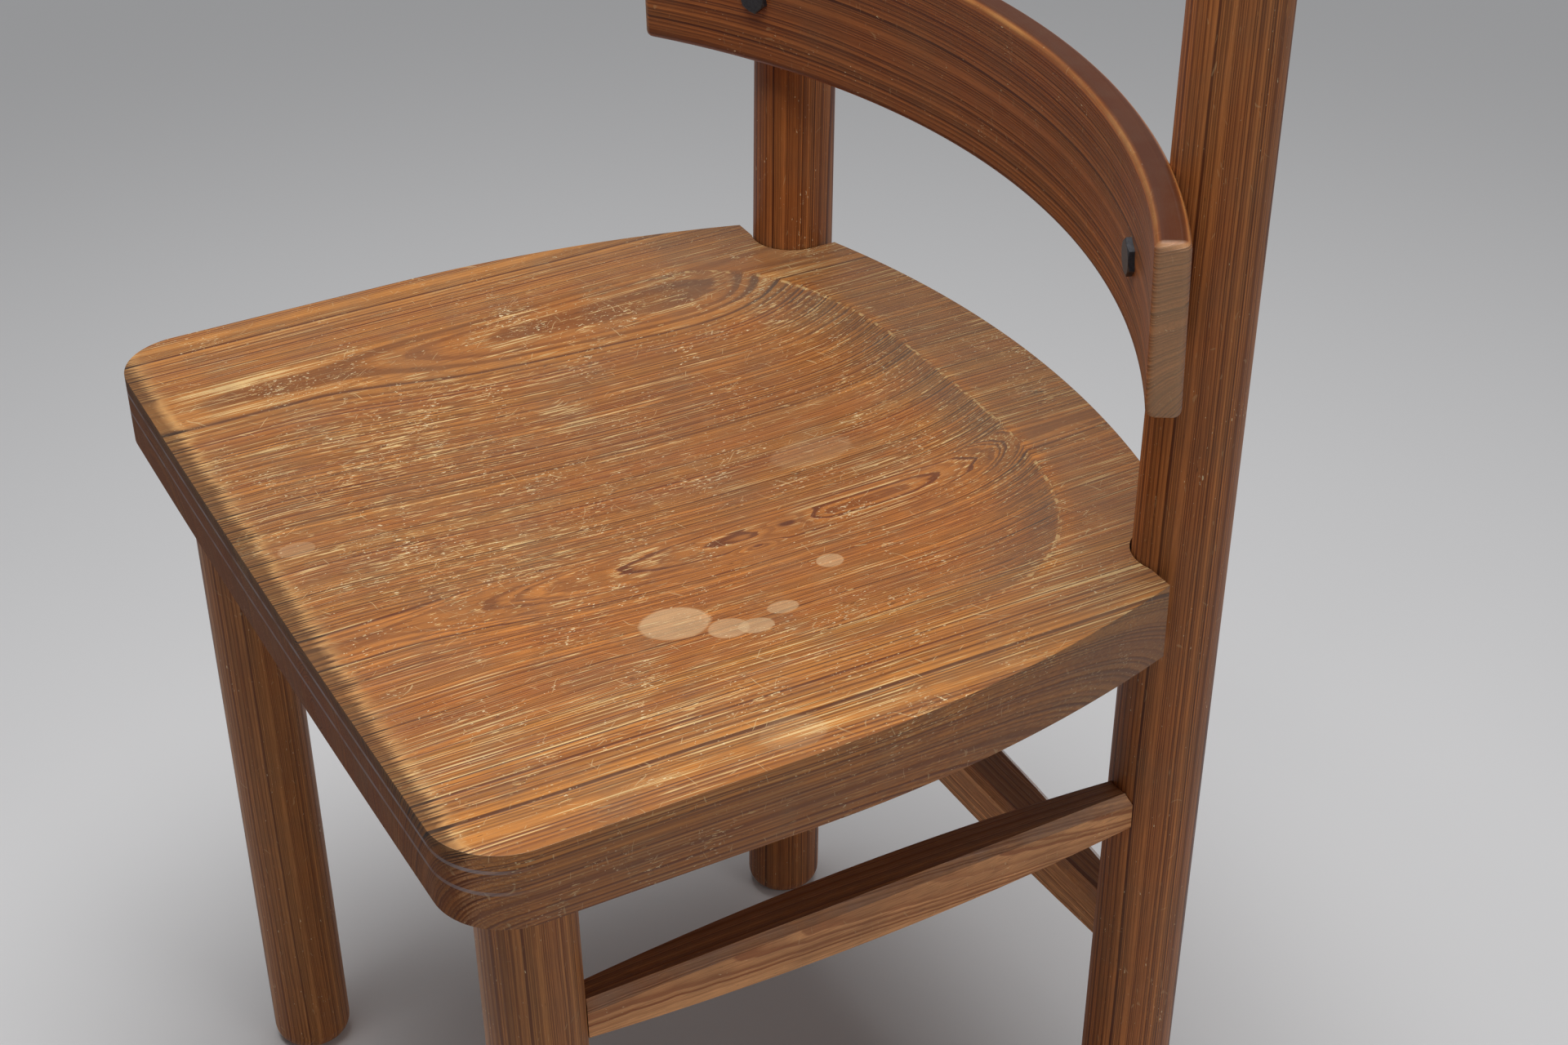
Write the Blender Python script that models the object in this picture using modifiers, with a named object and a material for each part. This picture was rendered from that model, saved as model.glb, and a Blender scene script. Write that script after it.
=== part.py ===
"""Worn solid pine chair: scooped seat of glued boards, round legs and posts, curved back rail.

Metres, +Z up. The chair faces -Y, +X is the sitter's left, and the origin is on the floor
under the middle of the seat.
"""
import math

import bmesh
import bpy
from mathutils import Matrix, Vector

# Gap kept between pieces that touch
CLEARANCE = 0.0003

# Seat plank
SEAT_WIDTH = 0.4818
SEAT_DEPTH = 0.4144
SEAT_TOP = 0.4535
SEAT_THICKNESS = 0.0376
SEAT_FRONT_BOW = 0.0018
SEAT_CORNER_RADIUS = 0.034
SEAT_STRAIGHT_SIDE = 0.1588
SEAT_SIDE_RADIUS = 0.6228
SEAT_BACK_RADIUS = 0.539
SEAT_TOP_ROUND = 0.0085
SEAT_BACK_ROUND = 0.0050
SEAT_BOTTOM_ROUND = 0.0035

# Widths of the glued boards, counted in from the seat's two edges
RIGHT_BOARD_WIDTH = 0.0604
LEFT_BOARD_WIDTH = 0.0799
LEFT_INNER_BOARD_WIDTH = 0.1060

# Scoop of the seat: a rounded rectangle with a crisp rim behind and a fading one in front
SCOOP_TO_BACK_EDGE = 0.1679
SCOOP_HALF_WIDTH = 0.180
SCOOP_BACK_REACH = 0.118
SCOOP_FRONT_REACH = 0.225
SCOOP_DEPTH = 0.009
SCOOP_BACK_SQUARENESS = 3.1
SCOOP_FRONT_SQUARENESS = 2.5
SCOOP_BACK_STEEPNESS = 4.5
SCOOP_FRONT_STEEPNESS = 2.0
SCOOP_BACK_FADE = 1.0
SCOOP_FRONT_FADE = 1.6

# Front legs, tenoned into the underside of the seat
LEG_DIAMETER = 0.044
LEG_SIDE_INSET = 0.0446
LEG_FRONT_INSET = 0.0434
LEG_TENON_DIAMETER = 0.025
LEG_TENON_LENGTH = 0.026
FOOT_ROUND = 0.011

# Back posts, which lean back and splay outward as they rise
POST_DIAMETER = 0.044
POST_HEIGHT = 0.800
POST_SIDE_INSET = 0.0567
POST_TO_BACK_EDGE = 0.0579
POST_LEAN_ANGLE = math.radians(2.319)
POST_SPLAY_ANGLE = math.radians(0.335)
POST_TOP_ROUND = 0.010

# Notches of the seat round the posts
NOTCH_GAP = 0.0009
EAR_SETBACK = 0.0014
DOWEL_DIAMETER = 0.010
DOWEL_BELOW_TOP = 0.0185
DOWEL_IN_POST = 0.022
DOWEL_IN_SEAT = 0.038

# Stretchers with a swelling, chamfered section, scribed to the round legs
STRETCHER_TENON_DIAMETER = 0.014
STRETCHER_TENON_LENGTH = 0.020
STRETCHER_MID_CHAMFER = 0.0037
SIDE_STRETCHER_END_WIDTH = 0.0182
SIDE_STRETCHER_END_HEIGHT = 0.0204
SIDE_STRETCHER_END_CHAMFER = 0.0048
SIDE_STRETCHER_MID_WIDTH = 0.0264
SIDE_STRETCHER_MID_HEIGHT = 0.0292
SIDE_STRETCHER_FRONT_Z = 0.3197
SIDE_STRETCHER_BACK_Z = 0.3157
BACK_STRETCHER_END_WIDTH = 0.0188
BACK_STRETCHER_END_HEIGHT = 0.0264
BACK_STRETCHER_END_CHAMFER = 0.0044
BACK_STRETCHER_MID_WIDTH = 0.0276
BACK_STRETCHER_MID_HEIGHT = 0.0318
BACK_STRETCHER_LEFT_Z = 0.2243
BACK_STRETCHER_RIGHT_Z = 0.2296

# Back rail, bent to an arc and let into the fronts of the posts
RAIL_BOTTOM_Z = 0.5636
RAIL_HEIGHT = 0.0805
RAIL_THICKNESS = 0.015
RAIL_INNER_RADIUS = 0.4312
RAIL_HALF_ANGLE = math.radians(33.5)
RAIL_EDGE_ROUND = 0.004
RAIL_HOUSING_DEPTH = 0.002

# Hex-headed coach screws that hold the rail, their heads bitten a little into the soft wood
BOLT_ABOVE_RAIL_BOTTOM = 0.0376
BOLT_ACROSS_FLATS = 0.015
BOLT_HEAD_THICKNESS = 0.0045
BOLT_HEAD_CHAMFER = 0.0006
BOLT_HEAD_SINK = 0.0015
BOLT_SHANK_DIAMETER = 0.008
BOLT_BITE_IN_POST = 0.035
BOLT_POINT_LENGTH = 0.006

# Facets of the round shapes
ROUND_SIDES = 32
SMALL_ROUND_SIDES = 24
ROUNDING_SEGMENTS = 3
SCOOP_SIDES = 56
SCOOP_RING_SHARES = (0.20, 0.38, 0.54, 0.68, 0.79, 0.88, 0.94, 0.97)
RAIL_STEPS = 20
SWELL_STEPS = 8
ARC_TOLERANCE = 0.0001
FLAT_ANGLE = math.radians(0.2)
ARRIS_ANGLE = math.radians(30)
SHARP_ANGLE = math.radians(35)
WELD_DISTANCE = 0.00001
CUTTER_MARGIN = 0.010

# Colours of the worn surfaces, linear RGB, each with its roughness
SEAT_PINE = ((0.36, 0.17, 0.06), 0.5)
FRAME_PINE = ((0.20, 0.085, 0.034), 0.5)
DOWEL_BEECH = ((0.50, 0.32, 0.17), 0.6)
BLACK_STEEL = ((0.012, 0.012, 0.013), 0.55)

# Places that follow from the sizes
SEAT_BACK_Y = SEAT_DEPTH / 2
SEAT_FRONT_Y = -SEAT_DEPTH / 2
SEAT_BOTTOM = SEAT_TOP - SEAT_THICKNESS
LEG_X = SEAT_WIDTH / 2 - LEG_SIDE_INSET
LEG_Y = SEAT_FRONT_Y + LEG_FRONT_INSET
POST_X = SEAT_WIDTH / 2 - POST_SIDE_INSET
POST_Y = SEAT_BACK_Y - POST_TO_BACK_EDGE
SIDES = (("left", 1), ("right", -1))


def new_collection(name):
    collection = bpy.data.collections.new(name)
    bpy.context.scene.collection.children.link(collection)
    return collection


def add_object(name, mesh, collection):
    obj = bpy.data.objects.new(name, mesh)
    collection.objects.link(obj)
    return obj


def evaluated_mesh(obj):
    """The mesh of an object as its modifiers leave it."""
    depsgraph = bpy.context.evaluated_depsgraph_get()
    return bpy.data.meshes.new_from_object(obj.evaluated_get(depsgraph))


def apply_modifiers(obj):
    old = obj.data
    obj.data = evaluated_mesh(obj)
    obj.modifiers.clear()
    bpy.data.meshes.remove(old)


def cut(obj, cutter, operation="DIFFERENCE"):
    """Add one exact Boolean to an object and set its cutter aside as a wire guide."""
    boolean = obj.modifiers.new(cutter.name, "BOOLEAN")
    boolean.operation = operation
    boolean.solver = "EXACT"
    boolean.object = cutter
    cutter.hide_render = True
    cutter.display_type = "WIRE"


def arc(centre, radius, start, end):
    """Points on an arc of a plan outline, whose chords stay within ARC_TOLERANCE of it."""
    step = 2 * math.acos(1 - ARC_TOLERANCE / radius)
    steps = math.ceil(abs(end - start) / step)
    angles = [start + (end - start) * i / steps for i in range(steps + 1)]
    return [(centre[0] + radius * math.cos(a), centre[1] + radius * math.sin(a)) for a in angles]


def extruded(name, outline, low, high, collection):
    """Closed mesh object from a plan outline that stands from one height to another."""
    curve = bpy.data.curves.new(name, "CURVE")
    curve.dimensions = "2D"
    curve.fill_mode = "BOTH"
    curve.extrude = (high - low) / 2
    spline = curve.splines.new("POLY")
    spline.points.add(len(outline) - 1)
    for point, (x, y) in zip(spline.points, outline):
        point.co = (x, y, 0, 1)
    spline.use_cyclic_u = True
    drawn = add_object(name + "_outline", curve, collection)
    mesh = evaluated_mesh(drawn)
    mesh.transform(Matrix.Translation((0, 0, (high + low) / 2)))
    bpy.data.objects.remove(drawn)
    bm = bmesh.new()
    bm.from_mesh(mesh)
    bmesh.ops.remove_doubles(bm, verts=bm.verts, dist=WELD_DISTANCE)
    bmesh.ops.dissolve_limit(bm, angle_limit=FLAT_ANGLE, verts=bm.verts, edges=bm.edges)
    bmesh.ops.recalc_face_normals(bm, faces=bm.faces)
    bm.to_mesh(mesh)
    bm.free()
    return add_object(name, mesh, collection)


def cylinder(name, radius, start, end, sides, collection):
    """Straight round bar between two points."""
    axis = end - start
    turn = axis.to_track_quat("Z", "Y").to_matrix().to_4x4()
    place = Matrix.Translation((start + end) / 2) @ turn
    mesh = bpy.data.meshes.new(name)
    bm = bmesh.new()
    bmesh.ops.create_cone(bm, cap_ends=True, segments=sides, radius1=radius, radius2=radius,
                          depth=axis.length, matrix=place)
    bm.to_mesh(mesh)
    bm.free()
    return add_object(name, mesh, collection)


def turned(name, profile, sides, collection):
    """Turned body from (radius, height) points that run from its top to its bottom."""
    mesh = bpy.data.meshes.new(name)
    edges = [(i, i + 1) for i in range(len(profile) - 1)]
    mesh.from_pydata([(radius, 0, height) for radius, height in profile], edges, [])
    obj = add_object(name, mesh, collection)
    screw = obj.modifiers.new("turning", "SCREW")
    screw.steps = sides
    screw.render_steps = sides
    screw.use_merge_vertices = True
    screw.merge_threshold = 0.0001
    return obj


def rounded_end(radius, end, rounding, direction):
    """Profile points of a flat end with a rounded rim, from the axis outward."""
    points = [(0, end)]
    for i in range(ROUNDING_SEGMENTS + 1):
        angle = math.radians(90) * i / ROUNDING_SEGMENTS
        rim = radius - rounding + rounding * math.sin(angle)
        points.append((rim, end - direction * rounding * (1 - math.cos(angle))))
    return points


def seat_front_edge(x):
    """Y of the seat's slightly bowed front edge."""
    return SEAT_FRONT_Y + SEAT_FRONT_BOW * (x / (SEAT_WIDTH / 2)) ** 2


def side_back_crossing():
    """Plan point where the arc of the left side meets the arc of the back edge."""
    side = Vector((SEAT_WIDTH / 2 - SEAT_SIDE_RADIUS, SEAT_FRONT_Y + SEAT_STRAIGHT_SIDE))
    back = Vector((0, SEAT_BACK_Y - SEAT_BACK_RADIUS))
    between = back - side
    along = (SEAT_SIDE_RADIUS ** 2 - SEAT_BACK_RADIUS ** 2 + between.length ** 2) / (2 * between.length)
    across = math.sqrt(SEAT_SIDE_RADIUS ** 2 - along ** 2)
    direction = between.normalized()
    return side, back, side + direction * along + Vector((-direction.y, direction.x)) * across


def seat_outline():
    """Plan outline of the whole seat, anticlockwise from the middle of the front edge."""
    half = SEAT_WIDTH / 2
    side_centre, back_centre, crossing = side_back_crossing()
    corner = (half - SEAT_CORNER_RADIUS, seat_front_edge(half - SEAT_CORNER_RADIUS) + SEAT_CORNER_RADIUS)
    side_angle = math.atan2(crossing.y - side_centre.y, crossing.x - side_centre.x)
    back_angle = math.atan2(crossing.y - back_centre.y, crossing.x - back_centre.x)
    right_half = [(corner[0] / 2, seat_front_edge(corner[0] / 2))]
    right_half += arc(corner, SEAT_CORNER_RADIUS, math.radians(-90), 0)
    right_half += arc(side_centre, SEAT_SIDE_RADIUS, 0, side_angle)
    right_half += arc(back_centre, SEAT_BACK_RADIUS, back_angle, math.radians(90))[1:-1]
    left_half = [(-x, y) for x, y in reversed(right_half)]
    return [(0, SEAT_FRONT_Y)] + right_half + [(0, SEAT_BACK_Y)] + left_half


def round_seat_edges(obj):
    """Bevel the rims of the plank, with its own rounding at the back edge and underneath."""
    crossing = side_back_crossing()[2]
    mesh = obj.data
    weights = mesh.attributes.new("bevel_weight_edge", "FLOAT", "EDGE")
    for edge in mesh.edges:
        first, second = (mesh.vertices[i].co for i in edge.vertices)
        middle = (first + second) / 2
        level = abs(first.z - second.z) < CLEARANCE
        if level and middle.z < (SEAT_TOP + SEAT_BOTTOM) / 2:
            weights.data[edge.index].value = SEAT_BOTTOM_ROUND / SEAT_TOP_ROUND
        elif level and middle.y > crossing.y:
            weights.data[edge.index].value = SEAT_BACK_ROUND / SEAT_TOP_ROUND
        elif level:
            weights.data[edge.index].value = 1
    bevel = obj.modifiers.new("edge rounding", "BEVEL")
    bevel.limit_method = "WEIGHT"
    bevel.width = SEAT_TOP_ROUND
    bevel.segments = ROUNDING_SEGMENTS
    apply_modifiers(obj)


def scoop_ring(share, height):
    """Plan points of one contour of the scoop, share 1 being its rim."""
    centre_y = SEAT_BACK_Y - SCOOP_TO_BACK_EDGE
    points = []
    for i in range(SCOOP_SIDES):
        angle = 2 * math.pi * i / SCOOP_SIDES
        cosine, sine = math.cos(angle), math.sin(angle)
        back_share = (1 + sine) / 2
        squareness = SCOOP_FRONT_SQUARENESS + (SCOOP_BACK_SQUARENESS - SCOOP_FRONT_SQUARENESS) * back_share
        reach = SCOOP_BACK_REACH if sine > 0 else SCOOP_FRONT_REACH
        x = SCOOP_HALF_WIDTH * math.copysign(abs(cosine) ** (2 / squareness), cosine)
        y = reach * math.copysign(abs(sine) ** (2 / squareness), sine)
        points.append((share * x, centre_y + share * y, height(share, back_share)))
    return points


def scoop_height(share, back_share):
    """Height of the scooped surface: crisp at the back of the rim, smooth at the front."""
    steepness = SCOOP_FRONT_STEEPNESS + (SCOOP_BACK_STEEPNESS - SCOOP_FRONT_STEEPNESS) * back_share
    fade = SCOOP_FRONT_FADE + (SCOOP_BACK_FADE - SCOOP_FRONT_FADE) * back_share
    last = SCOOP_RING_SHARES[-1]
    depth = SCOOP_DEPTH * (1 - min(share, last) ** steepness) ** fade
    if share > last:
        depth *= (1 - share) / (1 - last)
    return SEAT_TOP - depth


def scoop_cutter(collection):
    """Body whose underside is the surface of the scoop, carried on a little above the seat."""
    beyond = 2 - SCOOP_RING_SHARES[-1]
    rings = [scoop_ring(share, scoop_height) for share in SCOOP_RING_SHARES + (beyond,)]
    rings.append(scoop_ring(beyond, lambda share, back_share: SEAT_TOP + CUTTER_MARGIN))
    return loft("scoop_cutter", rings, collection)


def loft(name, rings, collection):
    """Closed body through rings of equal point counts, with a face over each end."""
    mesh = bpy.data.meshes.new(name)
    bm = bmesh.new()
    loops = [[bm.verts.new(point) for point in ring] for ring in rings]
    for lower, upper in zip(loops, loops[1:]):
        for i in range(len(lower)):
            bm.faces.new((lower[i - 1], lower[i], upper[i], upper[i - 1]))
    bm.faces.new(loops[0])
    bm.faces.new(loops[-1])
    bmesh.ops.recalc_face_normals(bm, faces=bm.faces)
    bm.to_mesh(mesh)
    bm.free()
    return add_object(name, mesh, collection)


def post_centre(side, z):
    """Centre of a back post at a height."""
    return post_shear(side) @ Vector((0, 0, z))


def post_shear(side):
    """Matrix that stands an upright body on a post's leaning line, its ends kept level."""
    matrix = Matrix.Identity(4)
    matrix[0][2] = side * math.tan(POST_SPLAY_ANGLE)
    matrix[1][2] = math.tan(POST_LEAN_ANGLE)
    matrix[0][3] = side * POST_X
    matrix[1][3] = POST_Y
    return matrix


def notch_cutter(name, side, collection):
    """Room for one post at a back corner of the seat, following the post's lean."""
    radius = POST_DIAMETER / 2 + NOTCH_GAP
    ear = radius - EAR_SETBACK
    reach = SEAT_WIDTH / 2
    hug = arc((0, 0), radius, -math.acos(math.sqrt(1 - (ear / radius) ** 2)), -math.pi)
    outline = [(side * x, y) for x, y in [(reach, -ear)] + hug + [(-radius, reach), (reach, reach)]]
    cutter = extruded(name, outline, SEAT_BOTTOM - CUTTER_MARGIN, SEAT_TOP + CUTTER_MARGIN, collection)
    cutter.data.transform(post_shear(side))
    return cutter


def dowel_ends(side):
    """Ends of the dowel that joins a post to the seat, inside the post and inside the seat."""
    centre = post_centre(side, SEAT_TOP - DOWEL_BELOW_TOP)
    face = centre + Vector((0, -POST_DIAMETER / 2, 0))
    return face + Vector((0, DOWEL_IN_POST, 0)), face - Vector((0, DOWEL_IN_SEAT, 0))


def make_seat(parts, cutters):
    """The seat's four glued boards, cut from one shaped plank."""
    plank = extruded("seat_plank", seat_outline(), SEAT_BOTTOM, SEAT_TOP, cutters)
    round_seat_edges(plank)
    cut(plank, scoop_cutter(cutters))
    for name, side in SIDES:
        cut(plank, notch_cutter("notch_" + name, side, cutters))
        foot = Vector((side * LEG_X, LEG_Y, SEAT_BOTTOM - CUTTER_MARGIN))
        head = Vector((side * LEG_X, LEG_Y, SEAT_BOTTOM + LEG_TENON_LENGTH + CLEARANCE))
        cut(plank, cylinder("leg_mortise_" + name, LEG_TENON_DIAMETER / 2 + CLEARANCE, foot, head,
                            SMALL_ROUND_SIDES, cutters))
        in_post, in_seat = dowel_ends(side)
        cut(plank, cylinder("seat_dowel_hole_" + name, DOWEL_DIAMETER / 2 + CLEARANCE, in_post,
                            in_seat - Vector((0, CLEARANCE, 0)), SMALL_ROUND_SIDES, cutters))
    apply_modifiers(plank)
    left = SEAT_WIDTH / 2
    joints = [-left + RIGHT_BOARD_WIDTH, left - LEFT_BOARD_WIDTH - LEFT_INNER_BOARD_WIDTH,
              left - LEFT_BOARD_WIDTH]
    edges = [-left - CUTTER_MARGIN] + joints + [left + CUTTER_MARGIN]
    names = ("seat_board_right", "seat_board_middle", "seat_board_left_inner", "seat_board_left")
    for name, low, high in zip(names, edges, edges[1:]):
        board = add_object(name, plank.data.copy(), parts)
        low_x, high_x = low + CLEARANCE / 2, high - CLEARANCE / 2
        box = [(low_x, -SEAT_DEPTH), (high_x, -SEAT_DEPTH), (high_x, SEAT_DEPTH), (low_x, SEAT_DEPTH)]
        cutter = extruded(name + "_bounds", box, SEAT_BOTTOM - CUTTER_MARGIN,
                          SEAT_TOP + CUTTER_MARGIN, cutters)
        cut(board, cutter, "INTERSECT")
        give_material(board, *SEAT_PINE)
    bpy.data.objects.remove(plank)


def side_stretcher_axis(side):
    """Centre line of a side stretcher, from the leg's axis to the post's axis."""
    return Vector((side * LEG_X, LEG_Y, SIDE_STRETCHER_FRONT_Z)), post_centre(side, SIDE_STRETCHER_BACK_Z)


def back_stretcher_axis():
    """Centre line of the back stretcher, from the right post's axis to the left post's axis."""
    return post_centre(-1, BACK_STRETCHER_RIGHT_Z), post_centre(1, BACK_STRETCHER_LEFT_Z)


def tenon_line(axis_point, towards, radius, spare):
    """Ends of a tenon in a leg of a given radius, or of its mortise with a spare length."""
    direction = (towards - axis_point).normalized()
    return (axis_point + direction * (radius - STRETCHER_TENON_LENGTH - spare),
            axis_point + direction * (radius + CUTTER_MARGIN))


def mortise(name, axis_point, towards, radius, collection):
    """Blind round hole for a stretcher's tenon."""
    bottom, mouth = tenon_line(axis_point, towards, radius, CLEARANCE)
    return cylinder(name, STRETCHER_TENON_DIAMETER / 2 + CLEARANCE, bottom, mouth,
                    SMALL_ROUND_SIDES, collection)


def octagon(centre, across, upward, width, height, chamfer):
    """Corners of an upright rectangle with chamfered corners."""
    half_width, half_height = width / 2, height / 2
    points = []
    for across_sign, up_sign in ((1, 1), (-1, 1), (-1, -1), (1, -1)):
        side_corner = (across_sign * half_width, up_sign * (half_height - chamfer))
        level_corner = (across_sign * (half_width - chamfer), up_sign * half_height)
        pair = (side_corner, level_corner) if across_sign == up_sign else (level_corner, side_corner)
        points += [centre + across * x + upward * y for x, y in pair]
    return points


def make_stretcher(name, ends, radii, end_size, mid_size, parts, cutters):
    """Stretcher that swells to its middle, scribed to two round legs and tenoned into them."""
    start, end = ends
    direction = (end - start).normalized()
    across = direction.cross(Vector((0, 0, 1))).normalized()
    upward = across.cross(direction)
    first = start + direction * (radii[0] - CUTTER_MARGIN)
    last = end - direction * (radii[1] - CUTTER_MARGIN)
    rings = []
    for i in range(SWELL_STEPS + 1):
        share = i / SWELL_STEPS
        swell = 1 - (2 * share - 1) ** 2
        size = [at_end + (at_mid - at_end) * swell for at_end, at_mid in zip(end_size, mid_size)]
        rings.append(octagon(first.lerp(last, share), across, upward, *size))
    stretcher = loft(name, rings, parts)
    for tag, here, there, radius in (("start", start, end, radii[0]), ("end", end, start, radii[1])):
        rise = Vector((0, 0, mid_size[1]))
        if here.y > 0:
            side = math.copysign(1, here.x)
            rise = post_centre(side, here.z + mid_size[1]) - post_centre(side, here.z)
        scribe = cylinder(name + "_scribe_" + tag, radius + CLEARANCE, here - rise, here + rise,
                          ROUND_SIDES, cutters)
        cut(stretcher, scribe)
        bottom, inner = tenon_line(here, there, radius, 0)
        cut(stretcher, cylinder(name + "_tenon_" + tag, STRETCHER_TENON_DIAMETER / 2, bottom, inner,
                                SMALL_ROUND_SIDES, cutters), "UNION")
    give_material(stretcher, *FRAME_PINE)


def make_stretchers(parts, cutters):
    leg_radius, post_radius = LEG_DIAMETER / 2, POST_DIAMETER / 2
    end_size = (SIDE_STRETCHER_END_WIDTH, SIDE_STRETCHER_END_HEIGHT, SIDE_STRETCHER_END_CHAMFER)
    mid_size = (SIDE_STRETCHER_MID_WIDTH, SIDE_STRETCHER_MID_HEIGHT, STRETCHER_MID_CHAMFER)
    for name, side in SIDES:
        make_stretcher("side_stretcher_" + name, side_stretcher_axis(side), (leg_radius, post_radius),
                       end_size, mid_size, parts, cutters)
    end_size = (BACK_STRETCHER_END_WIDTH, BACK_STRETCHER_END_HEIGHT, BACK_STRETCHER_END_CHAMFER)
    mid_size = (BACK_STRETCHER_MID_WIDTH, BACK_STRETCHER_MID_HEIGHT, STRETCHER_MID_CHAMFER)
    make_stretcher("back_stretcher", back_stretcher_axis(), (post_radius, post_radius),
                   end_size, mid_size, parts, cutters)


def make_front_legs(parts, cutters):
    """Turned front legs with a rounded foot and a round tenon at the top."""
    radius, tenon_radius = LEG_DIAMETER / 2, LEG_TENON_DIAMETER / 2
    shoulder = SEAT_BOTTOM - CLEARANCE
    profile = [(0, SEAT_BOTTOM + LEG_TENON_LENGTH), (tenon_radius, SEAT_BOTTOM + LEG_TENON_LENGTH),
               (tenon_radius, shoulder), (radius, shoulder)]
    profile += reversed(rounded_end(radius, 0, FOOT_ROUND, -1))
    for name, side in SIDES:
        leg = turned("front_leg_" + name, profile, ROUND_SIDES, parts)
        apply_modifiers(leg)
        leg.data.transform(Matrix.Translation((side * LEG_X, LEG_Y, 0)))
        start, end = side_stretcher_axis(side)
        cut(leg, mortise("side_mortise_front_" + name, start, end, radius, cutters))
        give_material(leg, *FRAME_PINE)


def rail_centre():
    """Plan centre of the rail's arcs, set so that the rail sinks into the posts by its housing."""
    centre = post_centre(1, RAIL_BOTTOM_Z + RAIL_HEIGHT / 2)
    reach = RAIL_INNER_RADIUS + RAIL_THICKNESS + POST_DIAMETER / 2 - RAIL_HOUSING_DEPTH
    return Vector((0, centre.y - math.sqrt(reach ** 2 - centre.x ** 2)))


def rail_body(name, spare, collection):
    """Curved board of the rail, grown all round by a spare thickness."""
    centre = rail_centre()
    outer = RAIL_INNER_RADIUS + RAIL_THICKNESS + spare
    half_angle = RAIL_HALF_ANGLE + spare / outer
    angles = [math.pi / 2 - half_angle + 2 * half_angle * i / RAIL_STEPS for i in range(RAIL_STEPS + 1)]
    outline = [centre + outer * Vector((math.cos(a), math.sin(a))) for a in angles]
    outline += [centre + (RAIL_INNER_RADIUS - spare) * Vector((math.cos(a), math.sin(a)))
                for a in reversed(angles)]
    return extruded(name, outline, RAIL_BOTTOM_Z - spare, RAIL_BOTTOM_Z + RAIL_HEIGHT + spare, collection)


def bolt_line(side):
    """Point on the rail's inner face at a bolt's centre, and the way that the bolt goes in."""
    centre = rail_centre()
    z = RAIL_BOTTOM_Z + BOLT_ABOVE_RAIL_BOTTOM
    post = post_centre(side, z)
    inward = Vector((post.x - centre.x, post.y - centre.y, 0)).normalized()
    return Vector((centre.x, centre.y, z)) + inward * RAIL_INNER_RADIUS, inward


def bolt_hole(name, side, collection):
    seat, inward = bolt_line(side)
    length = RAIL_THICKNESS + BOLT_BITE_IN_POST + CLEARANCE
    return cylinder(name, BOLT_SHANK_DIAMETER / 2 + CLEARANCE, seat - inward * CUTTER_MARGIN,
                    seat + inward * length, SMALL_ROUND_SIDES, collection)


def make_back_posts(parts, cutters):
    """Turned posts that run from the floor to above the rail."""
    radius = POST_DIAMETER / 2
    profile = rounded_end(radius, POST_HEIGHT, POST_TOP_ROUND, 1)
    profile += reversed(rounded_end(radius, 0, FOOT_ROUND, -1))
    for name, side in SIDES:
        post = turned("back_post_" + name, profile, ROUND_SIDES, parts)
        apply_modifiers(post)
        post.data.transform(post_shear(side))
        leg_end, post_end = side_stretcher_axis(side)
        cut(post, mortise("side_mortise_back_" + name, post_end, leg_end, radius, cutters))
        near, far = back_stretcher_axis()[::-side]
        cut(post, mortise("back_mortise_" + name, near, far, radius, cutters))
        in_post, in_seat = dowel_ends(side)
        cut(post, cylinder("post_dowel_hole_" + name, DOWEL_DIAMETER / 2 + CLEARANCE,
                           in_post + Vector((0, CLEARANCE, 0)), in_seat, SMALL_ROUND_SIDES, cutters))
        cut(post, rail_body("rail_housing_" + name, CLEARANCE, cutters))
        cut(post, bolt_hole("post_bolt_hole_" + name, side, cutters))
        give_material(post, *FRAME_PINE)


def make_rail(parts, cutters):
    """The back rail with its rounded arrises and two bolt holes."""
    rail = rail_body("back_rail", 0, parts)
    bevel = rail.modifiers.new("arris rounding", "BEVEL")
    bevel.limit_method = "ANGLE"
    bevel.angle_limit = ARRIS_ANGLE
    bevel.width = RAIL_EDGE_ROUND
    bevel.segments = ROUNDING_SEGMENTS
    for name, side in SIDES:
        cut(rail, bolt_hole("rail_bolt_hole_" + name, side, cutters))
        face, inward = bolt_line(side)
        head_radius = BOLT_ACROSS_FLATS / math.sqrt(3) + CLEARANCE
        cut(rail, cylinder("bolt_head_seat_" + name, head_radius, face - inward * CUTTER_MARGIN,
                           face + inward * (BOLT_HEAD_SINK + CLEARANCE), SMALL_ROUND_SIDES, cutters))
    give_material(rail, *FRAME_PINE)


def bolt_ring(radius, height, hexagonal):
    """Points round the bolt's axis on a circle, or on a hexagon of that inner radius."""
    points = []
    for i in range(SMALL_ROUND_SIDES):
        angle = 2 * math.pi * i / SMALL_ROUND_SIDES
        off_flat = (angle + math.pi / 6) % (math.pi / 3) - math.pi / 6
        reach = radius / math.cos(off_flat) if hexagonal else radius
        points.append(Vector((reach * math.cos(angle), reach * math.sin(angle), height)))
    return points


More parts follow.
